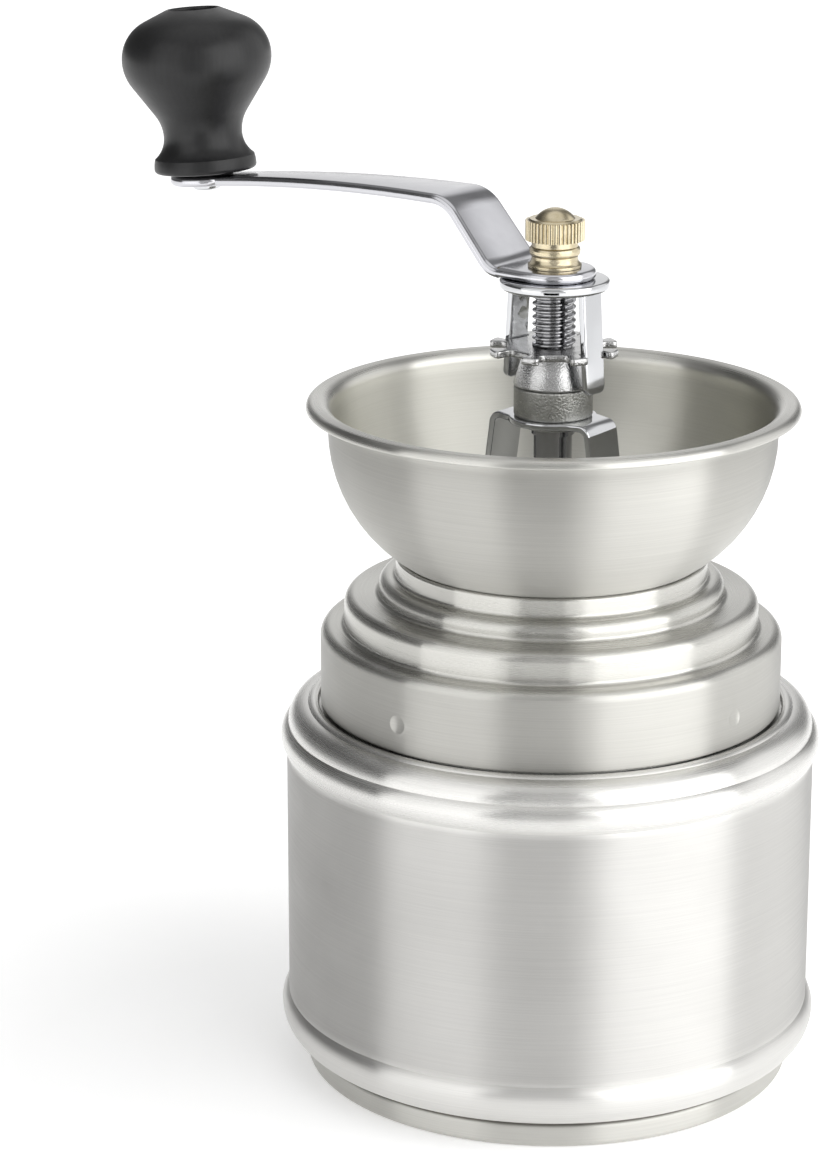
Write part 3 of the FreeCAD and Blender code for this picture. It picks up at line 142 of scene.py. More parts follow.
def set_stops(ramp, stops):
    """Give a colour ramp its greys, as (number, grey) pairs from its low end to its high end."""
    low = stops[0][0]
    high = stops[-1][0]
    marks = ramp.color_ramp.elements
    while len(marks) < len(stops):
        marks.new(0.5)
    for mark, (number, grey) in zip(marks, stops):
        mark.position = (number - low) / (high - low)
        mark.color = (grey, grey, grey, 1.0)


print("steel grey in linear light", [round(c, 3) for c in linear("#C8C6C1")])

# %% [markdown]
# ## Floor and light
# The grinder stands on white paper between two large softboxes, the right one brighter. Polished
# metal is mostly what it mirrors, so the room matters as much as the lamps: white paper below and
# behind, a dimmer gap where the camera stands, a dark side on the left, and a dark ring above that
# ends in a lit cloth overhead, which fills the bowl with light. A black card lies in front, out of
# the picture, and only mirrors see it: it draws the dark streaks that make chrome look like chrome.
# The softboxes are area lamps whose power is worked out from how bright their cloth looks, where 1
# is white. A picture of a real room could be wrapped round as the sky, but a sky made of greys that
# follow the compass can be tuned one side at a time.

# %% White paper floor
FLOOR_RADIUS = 4.0
FLOOR_SIDES = 64
PAPER = "#F2F2F2"
# The glow is painted light. It is lowest round SHADOW_MIDDLE, which paints shade left of the jar.
NEAR_GLOW = 0.28
FAR_GLOW = 0.68
GLOW_NEAR = 0.05
GLOW_FAR = 0.22
SHADOW_MIDDLE = around(math.radians(-80.0), 0.05, 0.0)


def seen_directly(tree):
    """1 for rays from the camera and from mirrors, 0 for light that falls on things."""
    ray = add(tree, "ShaderNodeLightPath").outputs
    seen = add(tree, MATH, {0: ray["Is Camera Ray"], 1: ray["Is Glossy Ray"]}, operation="ADD")
    return add(tree, MATH, {0: seen, 1: ray["Is Transmission Ray"]}, operation="ADD", use_clamp=True)


def white_paper():
    """Seamless paper with a painted glow for eye and mirrors, kept low as painted shade round the shadow.
    """
    material, tree = new_material("seamless white paper")
    paper = add(tree, "ShaderNodeBsdfDiffuse", {"Color": linear(PAPER)})
    place = add(tree, "ShaderNodeTexCoord").outputs["Object"]
    reach = add(tree, "ShaderNodeVectorMath", {0: place, 1: SHADOW_MIDDLE},
                operation="DISTANCE").outputs["Value"]
    lift = add(tree, RANGE, {"Value": reach, "From Min": GLOW_NEAR, "From Max": GLOW_FAR,
                             "To Min": NEAR_GLOW, "To Max": FAR_GLOW})
    glow_level = add(tree, MATH, {0: seen_directly(tree), 1: lift}, operation="MULTIPLY")
    glow = add(tree, "ShaderNodeEmission", {"Strength": glow_level})
    both = add(tree, "ShaderNodeAddShader", {0: paper, 1: glow})
    add(tree, "ShaderNodeOutputMaterial", {"Surface": both})
    return material


floor_mesh = bpy.data.meshes.new("floor")
floor_edge = [around(k * math.tau / FLOOR_SIDES, FLOOR_RADIUS, 0.0) for k in range(FLOOR_SIDES)]
floor_mesh.from_pydata(floor_edge, [], [range(FLOOR_SIDES)])
floor = put("floor", floor_mesh)
floor.data.materials.append(white_paper())
print("floor radius", FLOOR_RADIUS, "m, shadow lies round", [round(x, 3) for x in SHADOW_MIDDLE])

# %% Black card
CARD_NEAR = 0.40
CARD_FAR = 1.2
CARD_LEFT = math.radians(-22.0)
CARD_RIGHT = math.radians(10.0)
CARD_LIFT = 0.001
FLOCK = "#141414"


def black_card():
    """Black flocked card, flat on the paper in front of the grinder, for mirrors only."""
    corners = [around(turn, reach, CARD_LIFT) for turn, reach in (
        (CARD_LEFT, CARD_NEAR), (CARD_RIGHT, CARD_NEAR), (CARD_RIGHT, CARD_FAR), (CARD_LEFT, CARD_FAR))]
    mesh = bpy.data.meshes.new("black card")
    mesh.from_pydata(corners, [], [range(4)])
    material, tree = new_material("black flocked card")
    flock = add(tree, "ShaderNodeBsdfDiffuse", {"Color": linear(FLOCK)})
    add(tree, "ShaderNodeOutputMaterial", {"Surface": flock})
    mesh.materials.append(material)
    card = put("black card", mesh)
    card.visible_camera = False
    card.visible_diffuse = False
    card.visible_shadow = False
    return card


black_card()
print("black card from", CARD_NEAR, "to", CARD_FAR, "m")

# %% Studio room
ROOM = (
    (-180, 1.00), (-171, 0.80), (-160, 0.22), (-145, 0.12), (-115, 0.10), (-80, 0.10), (-25, 0.40),
    (-10, 0.60), (8, 0.60), (25, 0.40), (85, 1.00), (105, 1.20), (132, 1.15), (147, 0.25), (162, 0.25),
    (172, 0.85), (180, 1.00),
)
CEILING = (0.30, 0.30, 0.30, 1.0)
CEILING_RISE = {"From Min": 0.60, "From Max": 0.72}
OVERHEAD = (1.0, 1.0, 1.0, 1.0)
OVERHEAD_RISE = {"From Min": 0.80, "From Max": 0.90}


def studio_room():
    """The room round the table: brightness by the compass, in degrees right of the camera."""
    world = bpy.data.worlds.new("studio room")
    bpy.context.scene.world = world
    world.use_nodes = True
    tree = world.node_tree
    tree.nodes.clear()
    direction = add(tree, "ShaderNodeTexCoord").outputs["Generated"]
    forth, right = [add(tree, "ShaderNodeVectorMath", {0: direction, 1: around(turn, 1.0, 0.0)},
                        operation="DOT_PRODUCT").outputs["Value"] for turn in (0.0, math.pi / 2)]
    compass = add(tree, MATH, {0: right, 1: forth}, operation="ARCTAN2")
    share = add(tree, RANGE, {"Value": compass, "From Min": -math.pi, "From Max": math.pi})
    ramp = add(tree, "ShaderNodeValToRGB", {"Fac": share})
    set_stops(ramp, ROOM)
    height = add(tree, "ShaderNodeSeparateXYZ", {"Vector": direction}).outputs["Z"]
    sky = ramp.outputs["Color"]
    for cloth, rise in ((CEILING, CEILING_RISE), (OVERHEAD, OVERHEAD_RISE)):
        up = add(tree, RANGE, {"Value": height, **rise})
        mix = add(tree, "ShaderNodeMix", {"Factor": up, "A": sky, "B": cloth}, data_type="RGBA")
        sky = mix.outputs["Result"]
    background = add(tree, "ShaderNodeBackground", {"Color": sky})
    add(tree, "ShaderNodeOutputWorld", {"Surface": background})


studio_room()
print("room brightness from", min(grey for _, grey in ROOM), "to", max(grey for _, grey in ROOM))

# %% Softboxes
AIM = Vector((0.0, 0.0, 0.09))
BOX_DISTANCE = 0.75
BOX_MIDDLE = 0.42
BOX_HEIGHT = 0.90


def softbox(name, degrees, width, cloth):
    """A rectangle of lit cloth that faces the grinder. Cloth is its brightness, where 1 is white."""
    lamp = bpy.data.lights.new(name, "AREA")
    lamp.shape = "RECTANGLE"
    lamp.size = width
    lamp.size_y = BOX_HEIGHT
    lamp.energy = cloth * math.pi * width * BOX_HEIGHT
    holder = put(name, lamp)
    holder.location = around(math.radians(degrees), BOX_DISTANCE, BOX_MIDDLE)
    holder.rotation_mode = "QUATERNION"
    holder.rotation_quaternion = (AIM - holder.location).to_track_quat("-Z", "Y")


softbox("left softbox", degrees=-50.0, width=0.70, cloth=1.05)
softbox("right softbox", degrees=52.0, width=0.95, cloth=1.90)

# %% [markdown]
# ## Spun steel
# The jar, the collar and the bowl are stainless steel, pressed and spun, then brushed round while
# they turn. The brushing leaves fine lines round the piece. They blur a reflection across the
# lines and keep it sharp along them, so bright bands run up and down with clear sides. That is
# anisotropy: the spun pieces carry a UV map whose first axis runs along the outline, in mm, and
# the blur follows that axis. The same map draws the lines themselves. Real lines are a few
# hundredths of a mm apart, too fine for this picture, so they are drawn coarser and faint. A picture
# of brushed steel could be laid on instead, but its repeats would show on such wide, plain walls.

# %% Brushing, blotches and tints
SPIN_MAP = "spin"
NOISE_MIDDLE = {"From Min": 0.25, "From Max": 0.75}


def brush_lines(tree, radius_mm, line_mm, streak_mm):
    """Noise drawn out round the piece: fine across the lines, long along them."""
    parts = add(tree, "ShaderNodeSeparateXYZ", {"Vector": add(tree, "ShaderNodeUVMap", uv_map=SPIN_MAP)})
    angle = add(tree, MATH, {0: parts.outputs["Y"], 1: math.tau}, operation="MULTIPLY")
    across = []
    for wave in ("COSINE", "SINE"):
        turn = add(tree, MATH, {0: angle}, operation=wave)
        across.append(add(tree, MATH, {0: turn, 1: radius_mm / streak_mm}, operation="MULTIPLY"))
    along = add(tree, MATH, {0: parts.outputs["X"], 1: 1.0 / line_mm}, operation="MULTIPLY")
    spread = add(tree, "ShaderNodeCombineXYZ", {"X": across[0], "Y": across[1], "Z": along})
    return add(tree, "ShaderNodeTexNoise", {
        "Vector": spread, "Scale": 1.0, "Detail": 2.0, "Roughness": 0.6})


def blotches(tree, size_mm, detail=2.0):
    """Soft cloudy noise of about that size on the object."""
    place = add(tree, "ShaderNodeTexCoord").outputs["Object"]
    return add(tree, "ShaderNodeTexNoise", {
        "Vector": place, "Scale": 1.0 / (size_mm * MM), "Detail": detail})


def tint(tree, noise, dark, light):
    """A colour between two hex colours, as the noise goes through its middle range."""
    share = add(tree, RANGE, {"Value": noise, **NOISE_MIDDLE})
    ends = {"A": linear(dark), "B": linear(light)}
    return add(tree, "ShaderNodeMix", {"Factor": share, **ends}, data_type="RGBA").outputs["Result"]


def by_height(tree, stops):
    """A number that follows the height on the object, given as (height in mm, number) stops."""
    place = add(tree, "ShaderNodeTexCoord").outputs["Object"]
    height = add(tree, "ShaderNodeSeparateXYZ", {"Vector": place}).outputs["Z"]
    share = add(tree, RANGE, {"Value": height, "From Min": stops[0][0] * MM, "From Max": stops[-1][0] * MM})
    ramp = add(tree, "ShaderNodeValToRGB", {"Fac": share})
    set_stops(ramp, stops)
    return ramp


print("brushing follows the UV map", SPIN_MAP)

# %% Steel finishes
BRUSH_LINE_MM = 0.22
BRUSH_STREAK_MM = 26.0
BRUSH_DEPTH_MM = 0.004
CLOUD_MM = 14.0
LINE_GRAIN = {"To Min": -0.03, "To Max": 0.03}
CLOUD_GRAIN = {"To Min": -0.02, "To Max": 0.02}


def brushed_stainless(name, radius_mm, dark, light, *roughness, painted_shading=None):
    """Stainless sheet, spun and brushed round: soft, warm grey, with streaked reflections.
    Roughness follows the height: walls are brushed hard, beads and steps are rubbed smoother.
    The painted shading is a second tint from that many mm along the outline on, darker for painted
    shade, lighter for painted light: (mm, fade in mm, dark, light)."""
    material, tree = new_material(name)
    lines = brush_lines(tree, radius_mm, BRUSH_LINE_MM, BRUSH_STREAK_MM)
    fine = add(tree, RANGE, {"Value": lines, **NOISE_MIDDLE, **LINE_GRAIN})
    broad = add(tree, RANGE, {"Value": blotches(tree, CLOUD_MM), **NOISE_MIDDLE, **CLOUD_GRAIN})
    grain = add(tree, MATH, {0: fine, 1: broad}, operation="ADD")
    rough = add(tree, MATH, {0: by_height(tree, roughness), 1: grain}, operation="ADD")
    colour = tint(tree, lines, dark, light)
    # The second tint paints shade on the pan and light inside the bowl, from that point along the outline
    # on.
    if painted_shading:
        start, fade, painted_dark, painted_light = painted_shading
        place = add(tree, "ShaderNodeUVMap", uv_map=SPIN_MAP)
        walked = add(tree, "ShaderNodeSeparateXYZ", {"Vector": place}).outputs["X"]
        inside = add(tree, RANGE, {"Value": walked, "From Min": start - fade, "From Max": start})
        inner = tint(tree, lines, painted_dark, painted_light)
        mix = add(tree, "ShaderNodeMix", {"Factor": inside, "A": colour, "B": inner}, data_type="RGBA")
        colour = mix.outputs["Result"]
    steel = add(tree, "ShaderNodeBsdfPrincipled", {
        "Base Color": colour, "Metallic": 1.0, "Roughness": rough, "Anisotropic": 1.0,
        "Tangent": add(tree, "ShaderNodeTangent", direction_type="UV_MAP", uv_map=SPIN_MAP),
        "Normal": add(tree, "ShaderNodeBump", {"Height": lines, "Distance": BRUSH_DEPTH_MM * MM})})
    add(tree, "ShaderNodeOutputMaterial", {"Surface": steel})
    return material


# The pan, collar and bowl are tinted darker than the jar: painted shade for the shaded floor they mirror.
satin_pan = brushed_stainless(
    "brushed stainless pan", 45.0, "#C7C6C1", "#D1D0CB", (0.0, 0.34), (6.0, 0.34),
    # Its dark second tint, from 49.4 mm along its outline on, is painted shade in the seam under the jar's
    # bead.
    painted_shading=(49.4, 0.4, "#75736E", "#82807B"))
satin_jar = brushed_stainless(
    "brushed stainless jar", 49.0, "#D8D7D4", "#E3E2DF", (0.0, 0.32), (12.5, 0.32), (14.5, 0.50),
    (60.0, 0.50), (62.0, 0.28), (71.0, 0.26))
satin_collar = brushed_stainless(
    "brushed stainless collar", 40.0, "#C1C0BB", "#CDCCC7", (70.0, 0.44), (83.0, 0.44), (84.5, 0.26),
    (99.0, 0.26))
satin_bowl = brushed_stainless(
    "brushed stainless bowl", 38.0, "#C1C0BB", "#CDCCC7", (95.0, 0.46), (123.5, 0.46), (125.5, 0.30),
    # Its lighter second tint, from 60 mm along its outline on, is painted light on the bowl's inside.
    (128.0, 0.28), painted_shading=(60.0, 2.0, "#E1E0D8", "#E9E8E1"))
print("steel finishes", satin_pan.name, satin_jar.name, satin_collar.name, satin_bowl.name)

# %% [markdown]
# ## Plated, cast and turned metals
# The arm, the yoke and the bridge are pressed steel under bright chrome: a mirror with a little
# unevenness from polishing. The setting nut is chrome over a rough casting, so its mirror breaks
# into speckles. The bush under it is a dull casting. The cap nut is turned brass. What is inside
# is zinc plated steel and cast burrs. A plain grey metal would do from afar, but close up it is the
# unevenness that tells plate from casting, so each finish has noise of its own size and depth.

# %% Other metals
SMEAR_MM = 3.0
STAIN_MM = 2.5
SMOOTHER = 0.7
ROUGHER = 1.4
TARNISH_MM = 1.6
RING_DEPTH_MM = 0.006


def uneven_metal(tree, colour, noise, roughness, relief, depth_mm):
    """A metal whose roughness follows one noise between two values, and its relief another."""
    smooth, rough = roughness
    worn = add(tree, RANGE, {"Value": noise, **NOISE_MIDDLE, "To Min": smooth, "To Max": rough})
    metal = add(tree, "ShaderNodeBsdfPrincipled", {
        "Base Color": colour, "Metallic": 1.0, "Roughness": worn,
        "Normal": add(tree, "ShaderNodeBump", {"Height": relief, "Distance": depth_mm * MM})})
    add(tree, "ShaderNodeOutputMaterial", {"Surface": metal})


def bright_chrome(name, colour, roughness, wave_mm, depth_mm):
    """Decorative chrome on polished steel: a bright, faintly blue mirror, not quite flat."""
    material, tree = new_material(name)
    uneven_metal(tree, linear(colour), blotches(tree, SMEAR_MM, detail=3.0),
                 (roughness * SMOOTHER, roughness * ROUGHER), blotches(tree, wave_mm, detail=1.0), depth_mm)
    return material


def casting(name, dark, light, roughness, grit_mm, depth_mm):
    """A plated zinc casting: the skin of the mould shows as grit that breaks the shine."""
    material, tree = new_material(name)
    grit = blotches(tree, grit_mm, detail=3.0)
    uneven_metal(tree, tint(tree, blotches(tree, STAIN_MM), dark, light), grit,
                 (roughness * SMOOTHER, roughness * ROUGHER), grit, depth_mm)
    return material


def turned_brass(radius_mm, tool_mm, streak_mm):
    """Free-cutting brass from the lathe: pale yellow, satin, with faint rings from the tool."""
    material, tree = new_material("turned brass")
    rings = brush_lines(tree, radius_mm, tool_mm, streak_mm)
    yellow = tint(tree, blotches(tree, TARNISH_MM), "#BFB395", "#D2C7AD")
    uneven_metal(tree, yellow, rings, (0.20, 0.30), rings, RING_DEPTH_MM)
    return material


# chrome: tint, roughness, size of its waves in mm, depth of its waves in mm
chrome = bright_chrome("bright chrome", "#C6C7C9", 0.07, 6.0, 0.010)
arm_chrome = bright_chrome("chrome on the arm", "#C3C3C7", 0.15, 9.0, 0.012)
thread_chrome = bright_chrome("plated thread", "#A8A8AA", 0.12, 0.9, 0.010)
# castings: darkest and lightest tint, roughness, size of the grit in mm, depth of the grit in mm
cast_chrome = casting("chrome on a casting", "#AAAAA9", "#C0C0C0", 0.12, 0.32, 0.065)
cast_bush = casting("dull zinc casting", "#9C9C98", "#B4B4B0", 0.32, 0.40, 0.18)
zinc_steel = casting("zinc plated steel", "#B0B1AF", "#BABBB9", 0.30, 0.8, 0.0015)
spring_wire = casting("spring wire", "#8A8A88", "#9C9C9A", 0.26, 0.6, 0.004)
burr_iron = casting("cast burr", "#5E5E5D", "#737372", 0.46, 0.5, 0.030)
brass = turned_brass(radius_mm=4.8, tool_mm=0.16, streak_mm=9.0)
print("metals", chrome.name, cast_chrome.name, cast_bush.name, brass.name)

# %% [markdown]
# ## Black knob
# The knob is turned wood under black satin lacquer. It is almost black, the lacquer mirrors the
# softboxes weakly and softly, and up close the grain still shows through as shallow lines that run
# along the knob. Stretched noise draws such grain with two sizes, its width and its length. The thin
# fibre washer is plain matte black.

# %% Lacquer and fibre
GRAIN_MM = 0.7
GRAIN_STRETCH = 14.0
GRAIN_DEPTH_MM = 0.012
WEAR_MM = 5.0
SATIN = {"To Min": 0.36, "To Max": 0.46}
FIBRE_MM = 0.4
FIBRE_DEPTH_MM = 0.01
MATTE = {"To Min": 0.6, "To Max": 0.8}


def black_lacquer():
    """Black lacquer on turned beech: dark, satin, with a little grain and wear."""
    material, tree = new_material("black lacquered wood")
    place = add(tree, "ShaderNodeTexCoord").outputs["Object"]
    fine = 1.0 / (GRAIN_MM * MM)
    squeeze = add(tree, "ShaderNodeMapping", {"Vector": place, "Scale": (fine, fine, fine / GRAIN_STRETCH)})
    grain = add(tree, "ShaderNodeTexNoise", {"Vector": squeeze, "Scale": 1.0, "Detail": 3.0})
    worn = add(tree, RANGE, {"Value": blotches(tree, WEAR_MM), **NOISE_MIDDLE, **SATIN})
    wood = add(tree, "ShaderNodeBsdfPrincipled", {
        "Base Color": tint(tree, grain, "#121213", "#1B1B1C"), "Roughness": worn,
        "IOR": 1.42, "Coat Weight": 0.06, "Coat Roughness": 0.28,
        "Normal": add(tree, "ShaderNodeBump", {"Height": grain, "Distance": GRAIN_DEPTH_MM * MM})})
    add(tree, "ShaderNodeOutputMaterial", {"Surface": wood})
    return material


def vulcanised_fibre():
    """Pressed fibre sheet: matte and nearly black."""
    material, tree = new_material("vulcanised fibre")
    fibres = blotches(tree, FIBRE_MM, detail=3.0)
    worn = add(tree, RANGE, {"Value": fibres, **NOISE_MIDDLE, **MATTE})
    fibre = add(tree, "ShaderNodeBsdfPrincipled", {
        "Base Color": tint(tree, fibres, "#161616", "#242424"), "Roughness": worn,
        "Normal": add(tree, "ShaderNodeBump", {"Height": fibres, "Distance": FIBRE_DEPTH_MM * MM})})
    add(tree, "ShaderNodeOutputMaterial", {"Surface": fibre})
    return material


lacquer = black_lacquer()
fibre = vulcanised_fibre()
print("knob finish", lacquer.name, "washer", fibre.name)

# %% [markdown]
# ## Spinning an outline
# Most pieces were turned or spun, so they are made the same way: an outline of radius and height,
# swept round the shaft. The outline is written in mm as corners. A corner with a third number is
# reached by an arc of that radius, and a positive radius turns left. Walking the outline with the
# metal on the left makes every face point outwards. Blender's own Screw modifier sweeps an outline
# too, but this way the UV map that the brushing needs is made with the faces.

# %% Outlines
ARC_STEP = math.radians(6.0)


def trace(*corners):
    """The points of an outline, with its arcs divided into short steps."""
    points = [Vector(corners[0][:2])]
    for corner in corners[1:]:
        start = points[-1]
        end = Vector(corner[:2])
        if len(corner) == 2:
            points.append(end)
            continue
        bend = corner[2]
        half = (end - start) / 2
        reach = math.sqrt(max(bend * bend - half.length_squared, 0.0))
        left = Vector((-half.y, half.x)).normalized()
        centre = start + half + left * math.copysign(reach, bend)
        sweep = 2 * math.asin(min(half.length / abs(bend), 1.0))
        count = max(2, math.ceil(sweep / ARC_STEP))
        for step in range(1, count + 1):
            turn = Matrix.Rotation(math.copysign(sweep * step / count, bend), 2)
            points.append(centre + turn @ (start - centre))
    return points


def sag(run, rise):
    """Radius of an arc that starts upright and ends run further in and rise further up."""
    return (run * run + rise * rise) / (2 * run)


print("a quarter circle has", len(trace((1.0, 0.0), (0.0, 1.0, 1.0))) - 1, "steps")

# %% Spinning
SHARP = math.radians(34.0)
ON_AXIS_MM = 1e-6


def even_turn(count):
    """Shares of a whole turn, from 0 to 1."""
    return [step / count for step in range(count + 1)]


def finish_mesh(mesh):
    """Smooth faces, with real corners kept sharp."""
    mesh.validate()
    mesh.polygons.foreach_set("use_smooth", [True] * len(mesh.polygons))
    mesh.set_sharp_from_angle(angle=SHARP)
    mesh.update()
    return mesh


def spin(points, turns):
    """A mesh of revolution. Its UV map holds mm along the outline, and the share of a turn."""
    along = [0.0]
    for first, second in zip(points, points[1:] + points[:1]):
        along.append(along[-1] + (second - first).length)
    work = bmesh.new()
    uv = work.loops.layers.uv.new(SPIN_MAP)
    rings = []
    count = len(turns) - 1
    for point in points:
        radius, height = point * MM
        if point.x < ON_AXIS_MM:
            rings.append([work.verts.new((0.0, 0.0, height))] * count)
            continue
        angles = [share * math.tau for share in turns[:-1]]
        rings.append([work.verts.new((radius * math.cos(a), radius * math.sin(a), height)) for a in angles])
    rings.append(rings[0])
    for row in range(len(rings) - 1):
        for column in range(count):
            after = (column + 1) % count
            corners = (
                (rings[row][column], along[row], turns[column]),
                (rings[row][after], along[row], turns[column + 1]),
                (rings[row + 1][after], along[row + 1], turns[column + 1]),
                (rings[row + 1][column], along[row + 1], turns[column]),
            )
            used = []
            for corner in corners:
                if corner[0] not in [vertex for vertex, _, _ in used]:
                    used.append(corner)
            if len(used) < 3:
                continue
            face = work.faces.new([vertex for vertex, _, _ in used])
            for part, (_, u, v) in zip(face.loops, used):
                part[uv].uv = (u, v)
    mesh = bpy.data.meshes.new("spun")
    work.to_mesh(mesh)
    work.free()
    return finish_mesh(mesh)


print("corners sharper than", round(math.degrees(SHARP)), "degrees stay sharp")


# %% Showing a piece
def show(name, mesh, material, body, slot, *stands_for):
    """Put a finished mesh in the scene, on its body, in place of its plain nodes."""
    mesh.name = name
    mesh.materials.clear()
    mesh.materials.append(material)
    piece = put(name, mesh)
    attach(piece, body)
    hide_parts(*stands_for)
    print(name, "faces", len(mesh.polygons))


def extent(node):
    """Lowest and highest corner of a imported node, in mm."""
    low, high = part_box(node)
    return low / MM, high / MM


# %% [markdown]
# ## Base pan and jar
# The foot is a shallow pressed pan. The jar above it has a round bottom corner that swells into
# a bead, a straight wall, a second bead, and a shoulder that rolls over to the mouth. A bevelled
# cylinder would give plain corners, while an outline says how each bead swells. Where two sheets
# meet, a thin dark line shows: each sheet has a rounded edge and the groove between is real, and
# the pan's steel there is tinted darker as painted shade.

# %% Base pan
SHEET = 0.8
pan_high = extent("base_pan")[1]
pan_radius = pan_high.x
pan_round = 1.1
pan_top_round = 1.3
pan_lip = 4.5

pan_outline = trace(
    (0.0, 0.0),
    (pan_radius - pan_round, 0.0),
    (pan_radius, pan_round, pan_round),
    (pan_radius, pan_high.z - pan_top_round),
    (pan_radius - pan_top_round, pan_high.z, pan_top_round),
    (pan_radius - pan_lip, pan_high.z),
    (pan_radius - pan_lip, pan_high.z - SHEET),
    (pan_radius - SHEET, pan_high.z - SHEET),
    (pan_radius - SHEET, SHEET),
    (0.0, SHEET),
)
pan_mesh = spin(pan_outline, even_turn(144))
show("base_pan_shell", pan_mesh, satin_pan, "canister", "satin_steel", "base_pan")

# %% Jar
JAR_WALL = 49.0
jar_low, jar_high = extent("canister")
skirt = extent("stepped_collar")[1].x
mouth = extent("stepped_collar")[0].z
bead_widest = jar_high.x
low_corner = 6.0
low_bead_height = 2.5
high_bead = 50.07
high_bead_z = mouth - 6.4
high_bead_under = 2.8
crease_z = high_bead_z + 2.4
crease = JAR_WALL - 0.3
shoulder_z = mouth - 0.35
lip_outside = skirt + 2.4
lip_inside = skirt + 0.35
lip_round = 1.3
mouth_inside = skirt - 1.4
wall_inside = JAR_WALL - SHEET
inner_corner = low_corner - SHEET * 2
groove = 0.45

jar_outline = trace(
    (0.0, jar_low.z),
    (bead_widest - low_corner, jar_low.z),
    (bead_widest, jar_low.z + low_corner, low_corner),
    (JAR_WALL, jar_low.z + low_corner + low_bead_height, sag(bead_widest - JAR_WALL, low_bead_height)),
    (JAR_WALL, high_bead_z - high_bead_under),
    (high_bead, high_bead_z, sag(high_bead - JAR_WALL, high_bead_under)),
    (crease, crease_z, sag(high_bead - crease, crease_z - high_bead_z)),
    (lip_outside, shoulder_z, sag(crease - lip_outside, shoulder_z - crease_z)),
    (lip_inside + groove, mouth, lip_round),
    (lip_inside, mouth - groove, groove),
    (lip_inside, mouth - 2 * groove),
    (mouth_inside, mouth - 2 * groove),
    (mouth_inside, shoulder_z - SHEET),
    (lip_outside, shoulder_z - SHEET),
    (wall_inside, crease_z, -sag(wall_inside - lip_outside, shoulder_z - SHEET - crease_z)),
    (wall_inside, jar_low.z + SHEET + inner_corner),
    (wall_inside - inner_corner, jar_low.z + SHEET, -inner_corner),
    (0.0, jar_low.z + SHEET),
)
jar_mesh = spin(jar_outline, even_turn(180))
show("canister_shell", jar_mesh, satin_jar, "canister", "satin_steel", "canister")

# %% [markdown]
# ## Stepped collar
# The collar is pressed in three tiers and a neck. Four punch marks near its foot stake the ring
# inside it. The collar is spun like the jar, with extra columns and rows where a mark falls, and
# there the points are pushed in by the depth of a small round punch. A bump in the finish would be
# less work, but it would not catch the light on a real rim.

# %% Collar with its punch marks
collar_low, collar_high = extent("stepped_collar")
TIERS = ((42.6, 85.0), (38.2, 91.0), (31.87, 94.4))
NECK = 28.67
tier_round = 2.0
tier_hollow = 0.8
neck_round = 0.5
foot_round = 0.3
PUNCH_TURN = math.radians(-3.4)
PUNCH_COUNT = 4
PUNCH_HEIGHT = mouth + 5.3
PUNCH_RADIUS = 1.7
PUNCH_PATCH = PUNCH_RADIUS * 1.2
PUNCH_DEPTH = 0.26
PUNCH_RIM = 0.03
RIM_WIDTH = 0.12
PUNCH_END = 1.15
PUNCH_POINT = 1.2
PUNCH_STEPS = 24
COLUMN_GAP = 0.002
skirt_radius = TIERS[0][0]


def collar_outline():
    """Outside of the collar from foot to neck, then back down its inside."""
    rows = [PUNCH_HEIGHT - PUNCH_PATCH + 2 * PUNCH_PATCH * k / PUNCH_STEPS for k in range(PUNCH_STEPS + 1)]
    outer = [(skirt_radius - SHEET, collar_low.z), (skirt_radius - foot_round, collar_low.z),
             (skirt_radius, collar_low.z + foot_round, foot_round)]
    outer += [(skirt_radius, row) for row in rows]
    inner = []
    for (radius, top), narrower in zip(TIERS, (TIERS[1][0], TIERS[2][0], NECK)):
        outer += [(radius, top - tier_round), (radius - tier_round, top, tier_round),
                  (narrower + tier_hollow, top), (narrower, top + tier_hollow, -tier_hollow)]
        inner += [(radius - SHEET, top - SHEET), (narrower - SHEET, top - SHEET)]
    outer += [(NECK, collar_high.z - neck_round), (NECK - neck_round, collar_high.z, neck_round),
              (NECK - SHEET, collar_high.z)]
    return trace(*outer, *reversed(inner))


def turns_with_punches():
    """Even columns, and close ones across each punch mark."""
    half = PUNCH_PATCH / skirt_radius / math.tau
    fine = [PUNCH_TURN / math.tau + mark / PUNCH_COUNT - half + 2 * half * k / PUNCH_STEPS
            for mark in range(PUNCH_COUNT) for k in range(PUNCH_STEPS + 1)]
    fine = [share % 1.0 for share in fine]
    coarse = [share for share in even_turn(160)[1:-1]
              if min(abs(share - other) for other in fine) > COLUMN_GAP]
    return [0.0] + sorted(coarse + fine) + [1.0]


def punch(mesh):
    """Push the skirt in where the punch struck."""
    for mark in range(PUNCH_COUNT):
        angle = PUNCH_TURN + mark * math.tau / PUNCH_COUNT
        outward = Vector((math.cos(angle), math.sin(angle), 0.0))
        centre = outward * skirt_radius * MM + Vector((0.0, 0.0, PUNCH_HEIGHT * MM))
        for vertex in mesh.vertices:
            off = vertex.co - centre
            across = (off - outward * off.dot(outward)).length / (PUNCH_RADIUS * MM)
            if across < PUNCH_END and off.dot(outward) > -SHEET * MM / 2:
                dent = max(0.0, 1.0 - across * across) ** PUNCH_POINT * PUNCH_DEPTH
                rim = PUNCH_RIM * math.exp(-((across - 1.0) / RIM_WIDTH) ** 2)
                vertex.co -= outward * (dent - rim) * MM
    return finish_mesh(mesh)


collar_mesh = punch(spin(collar_outline(), turns_with_punches()))
show("stepped_collar_shell", collar_mesh, satin_collar, "head", "satin_steel", "stepped_collar")

# %% [markdown]
# ## Hopper bowl
# The bowl's side is one arc that ends in a short upright wall. The wall flares over into a flat rim,
# and the rim's edge is rolled down so that it is not sharp. The floor is open in the middle, where
# the beans fall to the burrs. Both faces of the sheet are in one outline, so the rim shows its true
# thickness, which a shell thickened afterwards would lose where the edge rolls.

